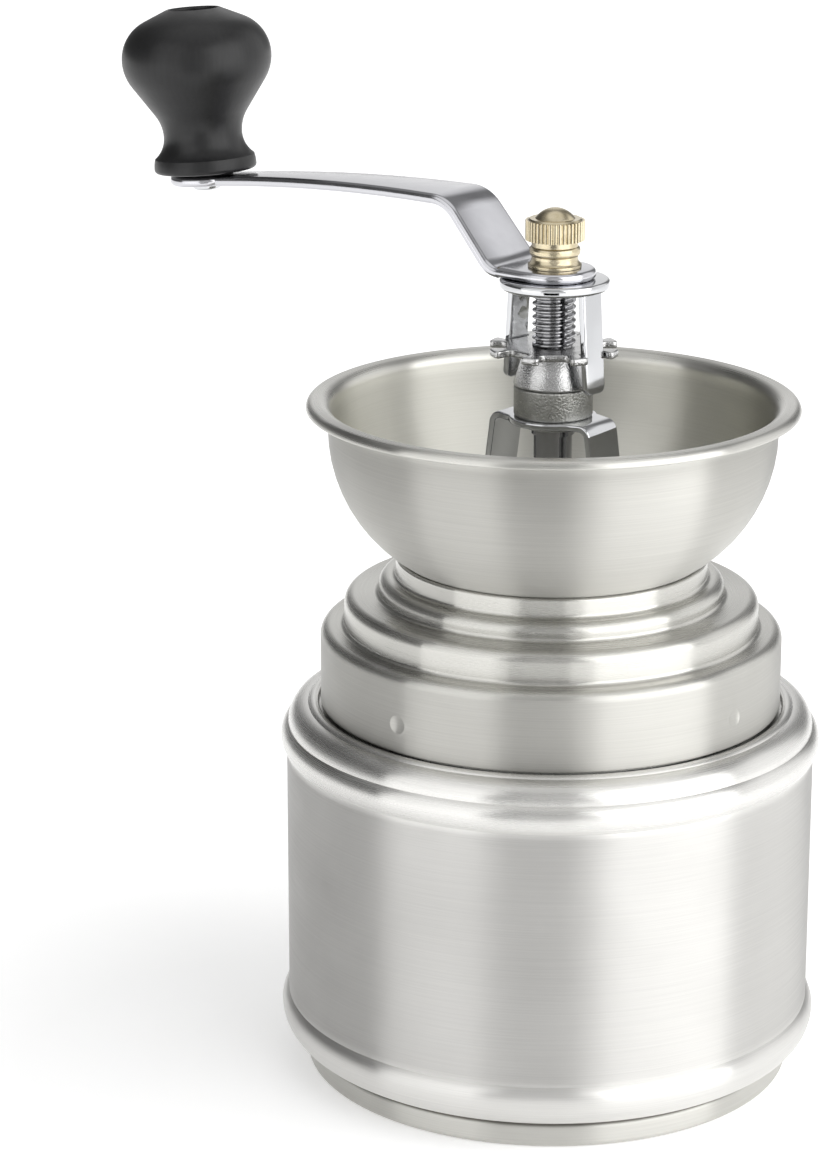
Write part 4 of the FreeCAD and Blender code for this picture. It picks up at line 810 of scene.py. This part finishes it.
# %% Bowl
BOWL_SHEET = 0.6
bowl_low, bowl_high = extent("hopper_bowl")
bowl_radius = 41.0
bowl_inner_floor = 22.51
bowl_depth = 26.6
bowl_middle = bowl_low.z + bowl_depth
bowl_flare = 1.6
flare_z = bowl_high.z - BOWL_SHEET - bowl_flare
rim_radius = bowl_high.x
rim_roll = 1.3
throat = 12.8
inner_curve = sag(bowl_radius - BOWL_SHEET - bowl_inner_floor, bowl_depth - BOWL_SHEET)
outer_curve = inner_curve + BOWL_SHEET
outer_floor = bowl_radius - outer_curve + math.sqrt(outer_curve ** 2 - bowl_depth ** 2)
roll_z = bowl_high.z - rim_roll

bowl_outline = trace(
    (throat, bowl_low.z),
    (outer_floor, bowl_low.z),
    (bowl_radius, bowl_middle, outer_curve),
    (bowl_radius, flare_z),
    (bowl_radius + bowl_flare, bowl_high.z - BOWL_SHEET, -bowl_flare),
    (rim_radius - rim_roll, bowl_high.z - BOWL_SHEET),
    (rim_radius - BOWL_SHEET, roll_z, -(rim_roll - BOWL_SHEET)),
    (rim_radius, roll_z, BOWL_SHEET / 2),
    (rim_radius - rim_roll, bowl_high.z, rim_roll),
    (bowl_radius + bowl_flare, bowl_high.z),
    (bowl_radius - BOWL_SHEET, flare_z, bowl_flare + BOWL_SHEET),
    (bowl_radius - BOWL_SHEET, bowl_middle),
    (bowl_inner_floor, bowl_low.z + BOWL_SHEET, -inner_curve),
    (throat, bowl_low.z + BOWL_SHEET),
)
bowl_mesh = spin(bowl_outline, even_turn(180))
show("hopper_bowl_shell", bowl_mesh, satin_bowl, "head", "satin_steel", "hopper_bowl")

# %% [markdown]
# ## Bent sheet
# The arm, the bridge and the yoke's legs are strips of sheet, bent in one plane. A strip is drawn
# as a walk along its upper face: straight runs and bends. Its width is given along that walk, and
# the edges get a small round, because rounded edges are what catches the light on real sheet. A
# Bevel modifier rounds edges as well, but it stumbles over the short faces of a tight bend.

# %% Walk along a strip
LONGEST_STEP = 6.0
TINY = 1e-9


class Walk:
    """Straight runs and bends in a plane, measured along their length."""

    def __init__(self, start, heading=0.0):
        self.legs = []
        self.length = 0.0
        self.place = Vector(start)
        self.heading = math.radians(heading)

    def run(self, length):
        """Go straight on."""
        return self.leg(length, 0.0)

    def bend(self, radius, degrees):
        """Turn with that radius at the walked face; positive degrees turn upwards."""
        sweep = math.radians(degrees)
        return self.leg(radius * abs(sweep), sweep)

    def leg(self, length, sweep):
        """Add a run or a bend, and go to its end."""
        self.legs.append((self.length, length, sweep, self.place.copy(), self.heading))
        self.length += length
        self.place, self.heading = self.at(self.length)
        return self

    def at(self, distance):
        """Place and heading at a distance along the walk."""
        for begin, length, sweep, place, heading in reversed(self.legs):
            if distance >= begin - TINY:
                break
        share = (distance - begin) / length
        turned = sweep * share
        chord = length * share
        if abs(turned) > TINY:
            chord *= math.sin(turned / 2) / (turned / 2)
        middle = heading + turned / 2
        return place + Vector((math.cos(middle), math.sin(middle))) * chord, heading + turned

    def stations(self):
        """Distances that follow every bend closely, and every run loosely."""
        found = {0.0, self.length}
        for begin, length, sweep, _, _ in self.legs:
            count = max(1, math.ceil(abs(sweep) / ARC_STEP), math.ceil(length / LONGEST_STEP))
            found |= {begin + length * k / count for k in range(count + 1)}
        return sorted(found)


print("a bend of 90 degrees has", len(Walk((0.0, 0.0)).bend(2.0, 90.0).stations()) - 1, "steps")

# %% Rounded edges
EDGE_STEPS = 4
NARROWEST_CORNER = 0.4


def inset(outline, distance):
    """A closed outline, walked with the metal on the left, moved inwards."""
    moved = []
    for index, point in enumerate(outline):
        before = (point - outline[index - 1]).normalized()
        after = (outline[(index + 1) % len(outline)] - point).normalized()
        inward = Vector((-before.y - after.y, before.x + after.x))
        inward = inward.normalized() if inward.length > TINY else Vector((-before.y, before.x))
        opening = max(inward.dot(Vector((-before.y, before.x))), NARROWEST_CORNER)
        moved.append(point + inward * distance / opening)
    return moved


def edge_rings(outline, thickness, edge):
    """Rings of (point, depth) over a rounded edge, from the upper face down to the lower one."""
    rings = []
    for step in range(EDGE_STEPS + 1):
        angle = math.pi / 2 * step / EDGE_STEPS
        rings.append((inset(outline, edge * (1 - math.sin(angle))), edge * (1 - math.cos(angle))))
    lower = [(points, thickness - depth) for points, depth in reversed(rings)]
    return rings + lower


def ring_faces(rows, count):
    """Faces that join rings of equal length, each below the last."""
    faces = []
    for row in range(rows - 1):
        for here in range(count):
            after = (here + 1) % count
            faces.append((row * count + here, (row + 1) * count + here,
                          (row + 1) * count + after, row * count + after))
    return faces


print("a rounded edge has", 2 * EDGE_STEPS + 2, "rings")

# %% Strips and plates
TIP = 0.02
WELD = 1e-6


def sheet_mesh(points, faces):
    """A mesh from points in mm, with doubled points merged."""
    mesh = bpy.data.meshes.new("sheet")
    mesh.from_pydata([point * MM for point in points], [], faces)
    work = bmesh.new()
    work.from_mesh(mesh)
    bmesh.ops.remove_doubles(work, verts=work.verts, dist=WELD)
    work.to_mesh(mesh)
    work.free()
    return finish_mesh(mesh)


def strip(walk, widths, thickness, edge, turn=0.0):
    """Bent sheet. Widths are (distance, half width) pairs in order; turn is about the shaft."""
    count = len(widths)
    outline = [Vector((along, -half)) for along, half in widths]
    outline += [Vector((along, half)) for along, half in reversed(widths)]
    rings = edge_rings(outline, thickness, edge)
    spun = Matrix.Rotation(turn, 3, "Z")
    points = []
    for ring, depth in rings:
        for point in ring:
            place, heading = walk.at(min(max(point.x, 0.0), walk.length))
            place = place + Vector((math.sin(heading), -math.cos(heading))) * depth
            points.append(spun @ Vector((place.x, point.y, place.y)))
    around_count = 2 * count
    faces = ring_faces(len(rings), around_count)
    last = (len(rings) - 1) * around_count
    for here in range(count - 1):
        left = around_count - 1 - here
        faces.append((here, here + 1, left - 1, left))
        faces.append((last + here, last + left, last + left - 1, last + here + 1))
    return sheet_mesh(points, faces)


def plate(outline, top, thickness, edge):
    """Flat sheet of any outline, with rounded edges, hung below a height."""
    rings = edge_rings(outline, thickness, edge)
    points = [Vector((p.x, p.y, top - depth)) for ring, depth in rings for p in ring]
    count = len(outline)
    faces = ring_faces(len(rings), count)
    last = (len(rings) - 1) * count
    faces.append(tuple(range(count)))
    faces.append(tuple(last + k for k in reversed(range(count))))
    return sheet_mesh(points, faces)


def joined(*meshes):
    """Several meshes as one."""
    work = bmesh.new()
    for mesh in meshes:
        work.from_mesh(mesh)
    whole = bpy.data.meshes.new("joined")
    work.to_mesh(whole)
    work.free()
    return finish_mesh(whole)


def round_end(radius, steps=14):
    """Half widths of a round end: (distance from the tip, half width)."""
    angles = [math.pi / 2 * k / steps for k in range(steps + 1)]
    return [(radius * (1 - math.cos(a)), max(radius * math.sin(a), TIP)) for a in angles]


print("a round end has", len(round_end(1.0)), "widths")

# %% [markdown]
# ## Crank arm
# The arm is one strap: a round hub on the shaft, a cranked rise that lifts it over the bowl's rim, a
# long gentle arch that narrows towards the knob, and a round eye. A swept curve could make it, but
# with one width. Flat stock bends at a constant radius, so a walk of runs and bends gives the shape
# that a press gives, and takes the widths as well. The arm points along -X.

# %% Arm
ARM_SHEET = 2.0
ARM_EDGE = 0.85
hub = 7.5
eye = 6.8
arm_top = extent("cap_nut")[0].z
ARM_FLAT = 7.84
LOW_BEND = 3.5
HIGH_BEND = 7.9
RAMP = 10.24
RAMP_ANGLE = 48.8
arm_walk = Walk((-hub, arm_top)).run(hub + ARM_FLAT)
arm_walk.bend(LOW_BEND, RAMP_ANGLE).run(RAMP).bend(HIGH_BEND, -RAMP_ANGLE)
crest = arm_walk.length
ARM_DROOP = 7.2
EYE_DROOP = 5.0
EYE_BEND = 6.0
ARM_REACH = 53.25
arm_walk.bend(ARM_REACH / math.sin(math.radians(ARM_DROOP)), -ARM_DROOP)
arm_walk.bend(EYE_BEND, ARM_DROOP - EYE_DROOP).run(2 * eye)
ARM_WIDE = 6.8
ARM_NARROW = 3.8
EYE_NECK = (ARM_NARROW, 4.4, 5.0, 5.6, 6.1)
NECK_GAP = 0.5


def arm_widths():
    """Round hub, sides that widen to the crest and narrow to the eye, then the round eye."""
    tip = arm_walk.length
    waist = tip - eye - math.sqrt(eye * eye - ARM_NARROW * ARM_NARROW)
    hub_end = round_end(hub)
    eye_end = [(tip - back, half) for back, half in reversed(round_end(eye))]
    neck = [(tip - eye - math.sqrt(eye * eye - half * half), half) for half in EYE_NECK]
    sides = []
    for along in arm_walk.stations():
        if hub < along < crest:
            sides.append((along, hub + (ARM_WIDE - hub) * (along - hub) / (crest - hub)))
        elif crest <= along < waist - NECK_GAP:
            share = (along - crest) / (waist - crest)
            sides.append((along, ARM_WIDE + (ARM_NARROW - ARM_WIDE) * share))
    return hub_end + sides + neck + eye_end


arm_mesh = strip(arm_walk, arm_widths(), ARM_SHEET, ARM_EDGE, turn=math.pi)
show("crank_arm_strap", arm_mesh, arm_chrome, "crank", "chrome", "crank_arm")

# %% [markdown]
# ## Bridge and bush
# The bridge is a strap folded into an arch, with feet bolted to the bowl's floor and a round middle
# that holds the bush. It is walked like the arm, from one foot over the arch to the other. The bush
# is a dull casting that carries the shaft, round all over, so it is spun.

# %% Bridge
BRIDGE_SHEET = 1.2
BRIDGE_EDGE = 0.35
bridge_low, bridge_high = extent("bridge")
bridge_half = 4.5
boss = 8.2
BOSS_ANGLES = range(-48, 49, 6)
foot_tip = bridge_high.x
leg_foot = 14.8
leg_top = 11.3
bridge_bend = 2.4
fold = 0.8
foot_top = bridge_low.z + BRIDGE_SHEET
lean = math.degrees(math.atan2(leg_foot - leg_top, bridge_high.z - bridge_bend - foot_top))
upright = 90.0 - lean


def bridge_walk():
    """From one foot's tip over the arch to the other, on the outer face."""
    fold_run = fold * math.tan(math.radians(upright / 2))
    turn_run = bridge_bend * math.tan(math.radians(upright / 2))
    rise = bridge_high.z - foot_top
    leg = rise / math.sin(math.radians(upright)) - fold_run - turn_run
    top_corner = leg_foot - rise / math.tan(math.radians(upright))
    walk = Walk((-foot_tip, foot_top))
    walk.run(foot_tip - leg_foot - fold_run).bend(fold, upright).run(leg)
    walk.bend(bridge_bend, -upright).run(2 * (top_corner - turn_run)).bend(bridge_bend, -upright)
    return walk.run(leg).bend(fold, upright).run(foot_tip - leg_foot - fold_run)


def bridge_widths(walk):
    """A plain strap that swells into the boss in the middle."""
    middle = walk.length / 2
    swell = {middle + boss * math.sin(math.radians(degrees)) for degrees in BOSS_ANGLES}
    widths = []
    for along in sorted(set(walk.stations()) | swell):
        reach = boss * boss - (along - middle) ** 2
        widths.append((along, max(bridge_half, math.sqrt(max(reach, 0.0)))))
    return widths


arch = bridge_walk()
bridge_mesh = strip(arch, bridge_widths(arch), BRIDGE_SHEET, BRIDGE_EDGE)
show("bridge_strap", bridge_mesh, chrome, "head", "chrome", "bridge")

# %% Bush
bush_low, bush_high = extent("bridge_bush")
bush_radius = bush_high.x
spigot = 5.4
bush_round = 0.5
bore = 4.0
bush_outline = trace(
    (bore, bush_low.z),
    (spigot, bush_low.z),
    (spigot, bridge_high.z),
    (bush_radius - bush_round, bridge_high.z),
    (bush_radius, bridge_high.z + bush_round, bush_round),
    (bush_radius, bush_high.z - bush_round),
    (bush_radius - bush_round, bush_high.z, bush_round),
    (bore, bush_high.z),
)
bush_mesh = spin(bush_outline, even_turn(96))
show("bridge_bush_casting", bush_mesh, cast_bush, "head", "cast_bush", "bridge_bush")

# %% [markdown]
# ## Setting nut
# The nut has a notched disc for the fingers and for the yoke's legs, on a cone that rests on the
# bush. Its corners are soft, as cast corners are. Cutting notches out of a disc would leave sharp
# corners to round afterwards, so one notch is drawn with its rounds and repeated as an outline.

# %% Notched nut
nut_low, nut_high = extent("adjusting_nut")
YOKE_TURN = math.radians(-8.0)
NOTCHES = 8
notch_half = 2.75
notch_floor = 8.5
notch_round = 1.2
lobe_round = 0.7
LOBE_STEPS = 5
RIM_STEPS = 4
disc = 12.1
disc_thickness = 1.35
disc_edge = 0.3
cone_foot = 7.3
cone_top = 5.6
cone_edge = 0.35
cone_tuck = 0.3


def notched_outline():
    """One notch and one lobe, repeated round the nut."""
    start = math.asin((notch_half + lobe_round) / (disc - lobe_round))
    lobe_centre = (disc - lobe_round) * math.cos(start)
    half = trace(
        (notch_floor, 0.0),
        (notch_floor, notch_half - notch_round),
        (notch_floor + notch_round, notch_half, -notch_round),
        (lobe_centre, notch_half),
    )
    centre = Vector((lobe_centre, notch_half + lobe_round))
    for step in range(1, LOBE_STEPS + 1):
        angle = -math.pi / 2 + (math.pi / 2 + start) * step / LOBE_STEPS
        half.append(centre + Vector((math.cos(angle), math.sin(angle))) * lobe_round)
    pitch = math.tau / NOTCHES
    for step in range(1, RIM_STEPS):
        angle = start + (pitch / 2 - start) * step / RIM_STEPS
        half.append(Vector((math.cos(angle), math.sin(angle))) * disc)
    mirrored = [Vector((point.x, -point.y)) for point in reversed(half)]
    turns = [Matrix.Rotation(YOKE_TURN + notch * pitch, 2) for notch in range(NOTCHES)]
    return [turn @ point for turn in turns for point in mirrored[:-1] + half]


disc_mesh = plate(notched_outline(), nut_high.z, disc_thickness, disc_edge)
under_disc = nut_high.z - disc_thickness
cone_outline = trace(
    (bore, nut_low.z),
    (cone_foot - cone_edge, nut_low.z),
    (cone_foot, nut_low.z + cone_edge, cone_edge),
    (cone_top, under_disc + cone_tuck),
    (bore, under_disc + cone_tuck),
)
nut_mesh = joined(disc_mesh, spin(cone_outline, even_turn(96)))
show("setting_nut", nut_mesh, cast_chrome, "adjuster", "cast_chrome", "adjusting_nut")

# %% [markdown]
# ## Lock yoke
# A disc under the arm, with two legs bent down from its edge. The legs stand in two opposite
# notches of the nut, so that the nut turns with the shaft and keeps its setting. The disc is a plate
# and each leg a strip that starts inside it, so the bends come out round without any cutting.

# %% Yoke
yoke_low, yoke_high = extent("lock_yoke")
YOKE_SHEET = 1.8
YOKE_EDGE = 0.55
LEG_SHEET = 1.4
LEG_EDGE = 0.35
yoke_radius = 10.0
leg_reach = 9.5
leg_half = 2.4
leg_tuck = 0.6
leg_bend = 1.4
leg_corner = 1.4
CORNER_STEPS = 8
leg_root = 3.0
leg_splay = math.radians(4.0)


def circle(radius, count):
    """Points of a circle, walked with the metal on the left."""
    return [Vector((math.cos(k * math.tau / count), math.sin(k * math.tau / count))) * radius
            for k in range(count)]


def yoke_leg(side):
    """One leg, from inside the disc over the bend to its round foot, spread a little."""
    start = yoke_high.z - leg_tuck
    drop = start - yoke_low.z - leg_bend * (1 - math.sin(leg_splay))
    walk = Walk((leg_reach - leg_bend - leg_root, start)).run(leg_root)
    walk.bend(leg_bend, math.degrees(leg_splay) - 90.0).run(drop / math.cos(leg_splay))
    end = walk.length
    angles = [math.pi / 2 * k / CORNER_STEPS for k in range(CORNER_STEPS + 1)]
    foot = [(end - leg_corner * (1 - math.sin(a)), leg_half - leg_corner * (1 - math.cos(a)))
            for a in angles]
    sides = [(along, leg_half) for along in walk.stations() if along < end - leg_corner]
    return strip(walk, sides + foot, LEG_SHEET, LEG_EDGE, turn=YOKE_TURN + side)


disc_plate = plate(circle(yoke_radius, 96), yoke_high.z, YOKE_SHEET, YOKE_EDGE)
yoke_mesh = joined(disc_plate, yoke_leg(0.0), yoke_leg(math.pi))
show("lock_yoke_sheet", yoke_mesh, chrome, "crank", "chrome", "lock_yoke")

# %% [markdown]
# ## Shaft and its thread
# The thread between the nut and the yoke is a real right-hand helix. Geometry Nodes suit it: a
# flat grid is rolled into a tube, and each point's distance from the axis follows a wave of its
# height and its angle. The crest climbs one pitch for each turn. A Screw modifier can wind a thread
# as well, but it leaves slanting ends, while the rolled grid ends level at the nut and at the yoke.

# %% Geometry trees
def node_group(name, *sizes):
    """An empty geometry tree with one input for each named size."""
    tree = bpy.data.node_groups.new(name, "GeometryNodeTree")
    tree.interface.new_socket("Geometry", in_out="INPUT", socket_type="NodeSocketGeometry")
    for size in sizes:
        tree.interface.new_socket(size, in_out="INPUT", socket_type="NodeSocketFloat")
    tree.interface.new_socket("Geometry", in_out="OUTPUT", socket_type="NodeSocketGeometry")
    return tree, add(tree, "NodeGroupInput").outputs


def end_tree(tree, start, grown_part, material):
    """What came in and what has grown on it, joined, made plain and given its material."""
    both = add(tree, "GeometryNodeJoinGeometry", {0: grown_part})
    tree.links.new(start, both.inputs[0])
    real = add(tree, "GeometryNodeRealizeInstances", {"Geometry": both})
    painted = add(tree, "GeometryNodeSetMaterial", {"Geometry": real, "Material": material})
    add(tree, "NodeGroupOutput", {"Geometry": painted})
    return tree


def grown(name, mesh, tree, **sizes):
    """The mesh that a geometry tree makes from a starting mesh and its named sizes."""
    holder = put(name, mesh)
    modifier = holder.modifiers.new(name, "NODES")
    modifier.node_group = tree
    for item in tree.interface.items_tree:
        if item.in_out == "INPUT" and item.name in sizes:
            modifier[item.identifier] = sizes[item.name]
    graph = bpy.context.evaluated_depsgraph_get()
    result = bpy.data.meshes.new_from_object(holder.evaluated_get(graph))
    bpy.data.objects.remove(holder)
    return result


print("geometry trees so far", len(bpy.data.node_groups))

# %% Thread tree
THREAD_PITCH = 1.25
THREAD_CREST = 3.95
THREAD_DEPTH = 0.62
COLUMNS = 72
ROWS_PER_PITCH = 20
FLANK = {"From Min": 0.10, "From Max": 0.86}


def thread_tree():
    """A tube whose surface is a screw thread, added to the shaft that comes in."""
    tree, given = node_group("screw thread", "bottom", "length", "pitch", "crest", "depth")
    turns = add(tree, MATH, {0: given["length"], 1: given["pitch"]}, operation="DIVIDE")
    rows = add(tree, MATH, {0: turns, 1: float(ROWS_PER_PITCH)}, operation="MULTIPLY")
    grid = add(tree, "GeometryNodeMeshGrid", {"Size X": 1.0, "Size Y": 1.0, "Vertices X": COLUMNS + 1,
                                              "Vertices Y": rows})
    spot = add(tree, "ShaderNodeSeparateXYZ", {"Vector": add(tree, "GeometryNodeInputPosition")}).outputs
    turn = add(tree, MATH, {0: spot["X"], 1: 0.5}, operation="ADD")
    share = add(tree, MATH, {0: spot["Y"], 1: 0.5}, operation="ADD")
    rise = add(tree, MATH, {0: share, 1: given["length"]}, operation="MULTIPLY")
    climb = add(tree, MATH, {0: rise, 1: given["pitch"]}, operation="DIVIDE")
    ahead = add(tree, MATH, {0: climb, 1: turn}, operation="SUBTRACT")
    phase = add(tree, MATH, {0: ahead}, operation="FRACT")
    double = add(tree, MATH, {0: phase, 1: 2.0, 2: -1.0}, operation="MULTIPLY_ADD")
    wave = add(tree, MATH, {0: double}, operation="ABSOLUTE")
    flank = add(tree, RANGE, {"Value": wave, **FLANK}, interpolation_type="SMOOTHSTEP")
    root = add(tree, MATH, {0: given["crest"], 1: given["depth"]}, operation="SUBTRACT")
    radius = add(tree, MATH, {0: flank, 1: given["depth"], 2: root}, operation="MULTIPLY_ADD")
    angle = add(tree, MATH, {0: turn, 1: math.tau}, operation="MULTIPLY")
    reach = []
    for swing in ("COSINE", "SINE"):
        side = add(tree, MATH, {0: angle}, operation=swing)
        reach.append(add(tree, MATH, {0: radius, 1: side}, operation="MULTIPLY"))
    height = add(tree, MATH, {0: rise, 1: given["bottom"]}, operation="ADD")
    place = add(tree, "ShaderNodeCombineXYZ", {"X": reach[0], "Y": reach[1], "Z": height})
    rolled = add(tree, "GeometryNodeSetPosition", {"Geometry": grid, "Position": place})
    closed = add(tree, "GeometryNodeMergeByDistance", {"Geometry": rolled, "Distance": WELD})
    return end_tree(tree, given["Geometry"], closed, thread_chrome)


print("thread of pitch", THREAD_PITCH, "mm,", ROWS_PER_PITCH, "rows to a turn")

# %% Shaft
shaft_low, shaft_high = extent("drive_shaft")
SHAFT = 3.5
END = 3.0
STUD = 2.95
stud_edge = 0.4
shoulder = extent("inner_burr")[0].z + 2.0
journal_low = bush_low.z - 1.3
thread_bottom = nut_low.z + 3.0
thread_top = arm_top - ARM_SHEET - YOKE_SHEET
thread_core = THREAD_CREST - THREAD_DEPTH - 0.05
shaft_outline = trace(
    (0.0, shaft_low.z),
    (END - stud_edge, shaft_low.z),
    (END, shaft_low.z + stud_edge),
    (END, shoulder),
    (SHAFT, shoulder),
    (SHAFT, journal_low),
    (THREAD_CREST, journal_low),
    (THREAD_CREST, thread_bottom),
    (thread_core, thread_bottom),
    (thread_core, thread_top),
    (STUD, thread_top),
    (STUD, shaft_high.z - stud_edge),
    (STUD - stud_edge, shaft_high.z),
    (0.0, shaft_high.z),
)
shaft_mesh = grown("shaft", spin(shaft_outline, even_turn(72)), thread_tree(),
                   bottom=thread_bottom * MM, length=(thread_top - thread_bottom) * MM,
                   pitch=THREAD_PITCH * MM, crest=THREAD_CREST * MM, depth=THREAD_DEPTH * MM)
show("threaded_shaft", finish_mesh(shaft_mesh), thread_chrome, "crank", "shaft_steel", "drive_shaft")

# %% [markdown]
# ## Cap nut
# A small brass nut screws down on the arm: a waisted foot, a band with straight knurling for the
# fingers, and a domed top. The ribs of the knurl repeat, so a tree sets one round bar on each
# point of a circle and makes them real. A star-shaped outline could be pushed up instead, but bars
# give each rib its round back with one size.

# %% Knurled nut
cap_low, cap_high = extent("cap_nut")
cap_flange = 4.85
flange_round = 0.2
flange_high = cap_low.z + 0.6
cap_waist = 4.2
waist_low = cap_low.z + 1.7
waist_round = 1.4
cap_bead = 4.6
bead_half = 0.9
bead_middle = cap_low.z + 3.0
bore_end = cap_low.z + 7.2
cap_band = 5.37
cap_core = 5.1
band_low = cap_low.z + 5.0
band_high = band_low + 3.9
band_chamfer = 0.5
dome = 3.6
RIBS = 40
RIB_SIDES = 10
rib_radius = 0.36
rib_length = band_high - band_chamfer * 0.6 - band_low


def knurl_tree():
    """Round bars side by side on a circle, standing on a height, joined to the nut that comes in."""
    tree, given = node_group("knurl", "circle", "bar", "bottom", "length", "count")
    bar = add(tree, "GeometryNodeMeshCylinder", {"Vertices": RIB_SIDES, "Radius": given["bar"],
                                                 "Depth": given["length"]})
    ring = add(tree, "GeometryNodeMeshCircle", {"Vertices": given["count"], "Radius": given["circle"]})
    middle = add(tree, MATH, {0: given["length"], 1: 0.5, 2: given["bottom"]}, operation="MULTIPLY_ADD")
    lift = add(tree, "ShaderNodeCombineXYZ", {"Z": middle})
    raised = add(tree, "GeometryNodeTransform", {"Geometry": ring, "Translation": lift})
    bars = add(tree, "GeometryNodeInstanceOnPoints", {"Points": raised, "Instance": bar})
    return end_tree(tree, given["Geometry"], bars, brass)


dome_rise = cap_high.z - band_high
cap_outline = trace(
    (STUD, cap_low.z),
    (cap_flange - flange_round, cap_low.z),
    (cap_flange, cap_low.z + flange_round, flange_round),
    (cap_flange, flange_high),
    (cap_waist, waist_low, -waist_round),
    (cap_waist, bead_middle - bead_half),
    (cap_bead, bead_middle, bead_half),
    (cap_waist, bead_middle + bead_half, bead_half),
    (cap_waist, band_low),
    (cap_core, band_low),
    (cap_core, band_high - band_chamfer),
    (cap_core - band_chamfer, band_high),
    (dome, band_high),
    (0.0, cap_high.z, sag(dome_rise, dome)),
    (0.0, bore_end),
    (STUD, bore_end),
)
cap_mesh = grown("cap", spin(cap_outline, even_turn(80)), knurl_tree(),
                 circle=(cap_band - rib_radius) * MM, bar=rib_radius * MM, bottom=band_low * MM,
                 length=rib_length * MM, count=RIBS)
show("cap_nut_brass", finish_mesh(cap_mesh), brass, "cap_nut", "brass", "cap_nut")

# %% [markdown]
# ## Knob
# The knob is turned like a chess piece: a foot, a hollow neck, and a pear-shaped head with a recess
# in the top for its pin. A lathe follows a profile, so the profile is written as a table. The knob
# stands square on the arm's eye, which droops, so it is spun upright and then tilted into place.

# %% Knob on its pin
PIN_PLACE = Vector(next(j for j in frame["joints"] if j["name"] == "knob_spin")["pos_m"])
ARM_TILT = Matrix.Rotation(-math.radians(EYE_DROOP), 4, "Y")
ON_EYE = Matrix.Translation(PIN_PLACE) @ ARM_TILT
washer_top = 0.5
knob_gap = 0.05
knob_foot = washer_top + knob_gap
knob_bore = 2.1
recess_floor = 25.94
KNOB_FOOT = ((9.05, 0.0), (9.85, 0.8, 0.8), (9.6, 2.7, sag(0.25, 1.9)))
KNOB_NECK = ((7.55, 6.9, -sag(2.05, 4.2)), (8.86, 11.1, -7.4))
KNOB_HEAD = ((12.84, 16.86), (14.34, 21.7, 8.5), (9.65, 28.92, 7.9), (5.1, 30.94))
KNOB_RECESS = ((4.6, 30.44, 0.5), (4.6, recess_floor), (knob_bore, recess_floor))


def on_eye(mesh):
    """Tilt a piece that was spun upright, and move it to the eye of the arm."""
    mesh.transform(ON_EYE)
    return mesh


knob_outline = trace(
    (knob_bore, knob_foot),
    *((radius, knob_foot + height, *bend) for radius, height, *bend
      in KNOB_FOOT + KNOB_NECK + KNOB_HEAD + KNOB_RECESS),
)
show("knob_turning", on_eye(spin(knob_outline, even_turn(96))), lacquer, "knob", "black_wood", "knob")

# %% Pin and washer
pin_radius = 2.0
pin_end = -3.1
pin_tip = 2.1
rivet_low = -2.7
pin_under = -2.0
pin_rivet = 2.7
pin_head = 3.6
head_low = knob_foot + 26.1
head_high = knob_foot + 27.6
rivet_round = 0.7
washer_radius = 5.2
pin_outline = trace(
    (0.0, pin_end),
    (pin_tip, pin_end),
    (pin_rivet, rivet_low, rivet_round),
    (pin_rivet, pin_under),
    (pin_radius, pin_under),
    (pin_radius, head_low),
    (pin_head, head_low),
    (pin_head, head_high - rivet_round),
    (pin_head - rivet_round, head_high, rivet_round),
    (0.0, head_high),
)
show("knob_pin_rivet", on_eye(spin(pin_outline, even_turn(48))), chrome, "crank", "chrome", "knob_pin")

washer_outline = trace(
    (knob_bore, 0.0),
    (washer_radius, 0.0),
    (washer_radius, washer_top),
    (knob_bore, washer_top),
)
washer_mesh = on_eye(spin(washer_outline, even_turn(48)))
show("knob_washer_fibre", washer_mesh, fibre, "crank", "fibre", "knob_washer")

# %% [markdown]
# ## Inner pieces
# The rest shows only from above, through the bowl's throat, or when the head is lifted off. Those
# solids already have their true shapes. They could be drawn again like the outer pieces, but nothing
# would be gained where they lie in shade, so they keep their shapes and get the right metal.

# %% Metal for the inner pieces
ZINC_PLATED = ("locating_ring", "guide_plate", "clamp_bolts", "lock_washers", "spring_washer",
               "burr_washer", "burr_nut", "drive_pin")
INNER = dict.fromkeys(ZINC_PLATED, zinc_steel)
INNER.update(burr_spring=spring_wire, outer_burr=burr_iron, inner_burr=burr_iron)
for name, material in INNER.items():
    nodes[name].data.materials.clear()
    nodes[name].data.materials.append(material)
print("inner pieces", len(INNER))
